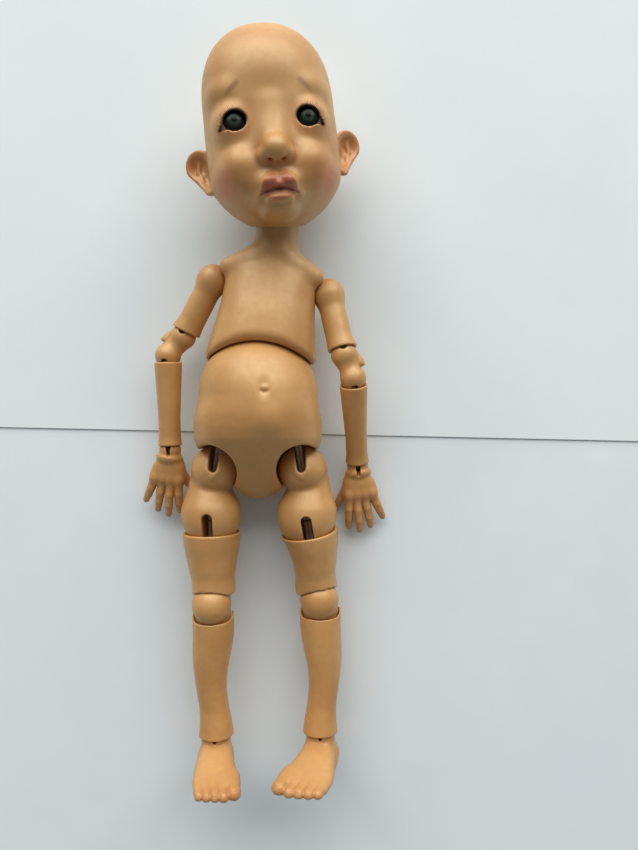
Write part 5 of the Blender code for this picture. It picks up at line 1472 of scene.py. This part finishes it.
bar = WAIST + BAR_PLACE
round_bar("pelvis_bar", bar - BAR_HALF, bar + BAR_HALF, 1.0, steel, 0.25)
for name, height in MAGNET_HEIGHTS.items():
    for owner, sign in (("head", 1), ("cap", -1)):
        depths = SEAM + sign * np.array((MAGNET_GAP, MAGNET_GAP + 1.0))
        near_end, far_end = head_place.outside(stacked(0, height, depths))
        round_bar(owner + "_magnet_" + name, near_end, far_end, MAGNET_RADIUS, plating, 0.12)
print("hooks, bar and magnets")

# %% [markdown]
# ## Eyes
# Each eye is a polished acrylic ball with a flat back, a clear bulge in front and a printed iris: a dark rim, a
# grey-green field with fine rays, and a small pupil. The upper half of the eye is darkened as a painted shadow of
# the lid. Each point of the ball knows its place in iris radii from the middle of the eye, and the shader draws
# the rings and rays from it. The clear coat gives the wet highlight.

# %% Eyes
IRIS_RADIUS = 3.6


def eye_finish():
    work = Bench("acrylic_eye")
    spot = work.node("ShaderNodeAttribute", attribute_name="gaze").outputs["Vector"]
    flat = work.node("ShaderNodeVectorMath", operation="MULTIPLY")
    work.join(spot, flat.inputs[0])
    flat.inputs[1].default_value = (1, 1, 0)
    reach = work.node("ShaderNodeVectorMath", operation="LENGTH")
    work.join(flat.outputs[0], reach.inputs[0])
    ring = reach.outputs["Value"]
    ray_way = work.node("ShaderNodeVectorMath", operation="NORMALIZE")
    work.join(flat.outputs[0], ray_way.inputs[0])
    rays = work.node("ShaderNodeTexNoise")
    work.join(ray_way.outputs[0], rays.inputs["Vector"])
    rays.inputs["Scale"].default_value = 9.0
    rays.inputs["Detail"].default_value = 4.0
    rays.inputs["Roughness"].default_value = 0.75
    ray = work.spread(rays.outputs["Fac"], 0.36, 0.66)
    wavy = work.sum("ADD", ring, work.spread(rays.outputs["Fac"], 0, 1, -0.07, 0.07))
    colour = work.mix(ray, tone(30, 37, 32), tone(66, 75, 62))
    colour = work.mix(work.spread(wavy, 0.46, 0.66), colour, tone(18, 23, 21))
    colour = work.mix(work.spread(wavy, 0.74, 0.94), colour, tone(8, 10, 10))
    colour = work.mix(work.spread(ring, 0.30, 0.22), colour, tone(6, 7, 8))
    # Painted shadow of the upper lid: the upper half of the eye is darkened towards black
    parts = work.node("ShaderNodeSeparateXYZ")
    work.join(spot, parts.inputs[0])
    colour = work.mix(work.spread(parts.outputs["Y"], 0.05, 0.85, 0, 0.75), colour, tone(10, 11, 11))
    white = work.mix(work.spread(work.noise(1.4), 0.4, 0.62), tone(170, 138, 126), tone(142, 98, 88))
    white = work.mix(work.spread(ring, 1.25, 1.6), white, tone(112, 62, 54))
    colour = work.mix(work.spread(ring, 0.98, 1.05), colour, white)
    work.set(Base_Color=colour, Roughness=0.5, Specular_IOR_Level=0.08, Coat_Weight=0.2, Coat_Roughness=0.05)
    return work.material


def eyeball(side, finish):
    around = 64
    turns = np.arange(around) * 2 * math.pi / around
    angles = np.concatenate([np.linspace(0.012, 0.62, 26), np.linspace(0.66, math.pi / 2 + 0.25, 26)])
    rings = []
    for angle in angles:
        r = EYE_RADIUS * math.sin(angle)
        z = max(EYE_RADIUS * math.cos(angle), -1.5)
        z += 0.3 * max(0, 1 - (r / 3.8) ** 2) ** 2
        rings.append(stacked(r * np.cos(turns), r * np.sin(turns), z))
    rings.append(rings[-1] * (0.02, 0.02, 1))
    points = np.concatenate(rings + [[rings[0].mean(0)], [rings[-1].mean(0)]])
    places = head_place.outside(points + EYE_CENTRE * (SIDES[side], 1, 1))
    piece = mesh_object("eye_" + side + "_ball", places, ring_faces(len(rings), around)[:, ::-1])
    gaze = piece.data.attributes.new("gaze", "FLOAT_VECTOR", "POINT")
    gaze.data.foreach_set("vector", (points / IRIS_RADIUS).astype(np.float32).ravel())
    settle(piece, "eye_" + side, finish)


acrylic = eye_finish()
for side in SIDES:
    eyeball(side, acrylic)

# %% [markdown]
# ### Lashes
# The lashes are a strip of fine hairs glued under each upper lid. Each hair is a tapering tube that starts on the
# lid's rim and curls up and outwards. The rim is found by stepping out from the middle of the eye.

# %% Lashes
LASH_COUNT = 19


def lash_finish():
    work = Bench("lash_hair")
    shade = work.spread(work.noise(0.6, 2.0), 0.3, 0.7)
    work.set(Base_Color=work.mix(shade, tone(34, 22, 16), tone(52, 36, 26)), Roughness=0.55)
    return work.material


def lid_shell(half):
    return lids(face_forms(half, half), half)


def lid_rim(angle):
    """The point on the lid's rim in one direction from the middle of the eye, in the half with x above zero."""
    reach = 2.0
    for _ in range(40):
        spot = EYE_CENTRE[:2] + reach * np.array((math.cos(angle), math.sin(angle)))
        reach -= eye_opening(np.array([[spot[0], spot[1], 0]]))[0]
    z = 26.0
    for _ in range(60):
        z -= 0.7 * lid_shell(np.array([[spot[0], spot[1], z]]))[0]
    return np.array((spot[0], spot[1], z))


def lashes(side, finish):
    hairs = []
    for i in range(LASH_COUNT):
        share = i / (LASH_COUNT - 1)
        angle = math.radians(-18 + 148 * share)
        root = lid_rim(angle) - (0, 0, 0.25)
        out = np.array((math.cos(angle), math.sin(angle), 0))
        length = 1.2 + 0.8 * math.sin(math.pi * (0.25 + 0.6 * share)) * (1.25 if i % 3 else 0.8) - 0.7 * share
        first = unit(out * 0.85 + (0.30 - 0.3 * share, 0.1, 0.50))
        last = unit(out * 0.6 + (0.25 - 0.3 * share + 0.12 * math.sin(5.1 * i), 0.70, 0.35))
        path = [root]
        for step in np.linspace(0, 1, 7)[1:]:
            path.append(path[-1] + unit(first * (1 - step) + last * step) * length / 6)
        hairs.append(tube(np.array(path) * (SIDES[side], 1, 1), np.linspace(0.11, 0.02, 7), 5))
    points, faces = together(hairs)
    if SIDES[side] < 0:
        faces = faces[:, ::-1]
    piece = mesh_object("lashes_" + side, head_place.outside(points), faces)
    piece.data.materials.append(finish)
    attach(piece, "head")


lash_hair = lash_finish()
for side in SIDES:
    lashes(side, lash_hair)
print("eyes and lashes")

# %% [markdown]
# ## Camera, light and paper
# The doll lies on its back and the camera looks straight down from a quarter of a metre. One soft window light
# comes from beyond the crown, and the pale room fills the shadows.

# %% Camera
CAMERA_PLACE = (0.020745, -0.0046, 0.255)
camera_data = bpy.data.cameras.new("camera")
camera_data.lens = 27.74
camera_data.sensor_width = 36
camera_data.clip_start = 0.01
camera = bpy.data.objects.new("camera", camera_data)
camera.location = CAMERA_PLACE
bpy.context.scene.collection.objects.link(camera)
bpy.context.scene.camera = camera

# %% [markdown]
# ### Paper
# Two sheets of drawing paper overlap under the hips. The upper one lies on the lower and ends in a clean cut edge
# that casts a thin line of shadow. Paper is not one colour either: it has cloudy density and a fine tooth.

# %% Two sheets of paper
EDGE_POINT = np.array((20.7, -8.1, 0))
EDGE_LEAN = math.radians(-1.26)


def paper_finish(name, shade, deep):
    work = Bench(name)
    cloud = work.spread(work.noise(55, 3.0, 0.55), 0.3, 0.7)
    work.set(Base_Color=work.mix(cloud, shade, deep), Roughness=0.85, Specular_IOR_Level=0.25)
    tooth = work.sum("ADD", work.noise(0.45, 3.0, 0.65), work.sum("MULTIPLY", work.noise(30, 2.0), 4.0))
    work.bump(tooth, 0.35, 0.05)
    return work.material


def paper_sheet(name, rows, top, thick, finish):
    """A sheet as rows along its cut edge, with a top, a bottom and an edge between them."""
    along = np.array((math.cos(EDGE_LEAN), math.sin(EDGE_LEAN), 0))
    up_sheet = np.array((-math.sin(EDGE_LEAN), math.cos(EDGE_LEAN), 0))
    columns = np.concatenate([np.linspace(-700, -200, 6), np.linspace(-160, 160, 33), np.linspace(200, 700, 6)])
    points = [EDGE_POINT + along * column + up_sheet * row + (0, 0, level)
              for level in (top, top - thick) for row in rows for column in columns]
    upper, under = np.arange(len(points)).reshape(2, len(rows), len(columns))
    faces = []
    for grid, turn in ((upper, 1), (under, -1)):
        quads = np.stack([grid[:-1, :-1], grid[:-1, 1:], grid[1:, 1:], grid[1:, :-1]], -1)
        faces.append(quads.reshape(-1, 4)[:, ::turn])
    border, below = (np.concatenate([grid[0], grid[1:, -1], grid[-1, -2::-1], grid[-2:0:-1, 0]])
                     for grid in (upper, under))
    faces.append(stacked(border, below, np.roll(below, -1), np.roll(border, -1)))
    sheet = mesh_object(name, points, np.concatenate(faces))
    sheet.data.set_sharp_from_angle(angle=math.radians(40))
    sheet.data.materials.append(finish)
    sheet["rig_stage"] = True


UPPER_ROWS = [0, 1, 3, 8, 20, 50, 120, 300, 700]
LOWER_ROWS = [-700, -300, -120, -40, 0, 60, 200, 650]
upper_paper = paper_finish("paper_upper", tone(236, 243, 242), tone(231, 239, 239))
lower_paper = paper_finish("paper_lower", tone(235, 242, 242), tone(229, 237, 238))
paper_sheet("upper_sheet", UPPER_ROWS, -0.03, 0.22, upper_paper)
paper_sheet("lower_sheet", LOWER_ROWS, -0.62, 0.3, lower_paper)

# %% [markdown]
# ### Light
# A big soft lamp stands for the window beyond the crown, so the forehead, the shoulders and the tops of the
# thighs are lit and everything under a round form falls off softly. The world is the room: a plain,
# dim, slightly blue light from everywhere, so that reflections and shadows see the same room.

# %% Window and room
def soft_lamp(name, place, target, width, height, energy, colour):
    light = bpy.data.lights.new(name, "AREA")
    light.shape = "RECTANGLE"
    light.size, light.size_y = width, height
    light.energy = energy
    light.color = colour
    lamp = bpy.data.objects.new(name, light)
    lamp.location = place
    lamp.rotation_euler = (Vector(target) - Vector(place)).to_track_quat("-Z", "Y").to_euler()
    bpy.context.scene.collection.objects.link(lamp)


WINDOW_PLACE = (0.04, 1.62, 1.00)
WINDOW_WIDTH = 3.6
WINDOW_HEIGHT = 1.8
soft_lamp("window", WINDOW_PLACE, (0, 0, 0), WINDOW_WIDTH, WINDOW_HEIGHT, 70.0, (1.0, 0.99, 0.97))

world = bpy.data.worlds.new("room")
bpy.context.scene.world = world
world.use_nodes = True
room = world.node_tree.nodes["Background"]
room.inputs["Color"].default_value = tone(222, 232, 242)
room.inputs["Strength"].default_value = 0.27
bpy.context.scene.view_settings.view_transform = "Standard"

# %% [markdown]
# ## Sizes
# The boxes of the dressed doll and of the imported frame are printed; the dressed doll has to fill the same box.

# %% Sizes
dressed_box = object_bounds()
boxes = {"cad": [list(corner) for corner in cad_box], "visual": [list(corner) for corner in dressed_box]}
for name, (low_corner, high_corner) in boxes.items():
    print(name, [round((high - low) / MM, 1) for low, high in zip(low_corner, high_corner)], "mm")
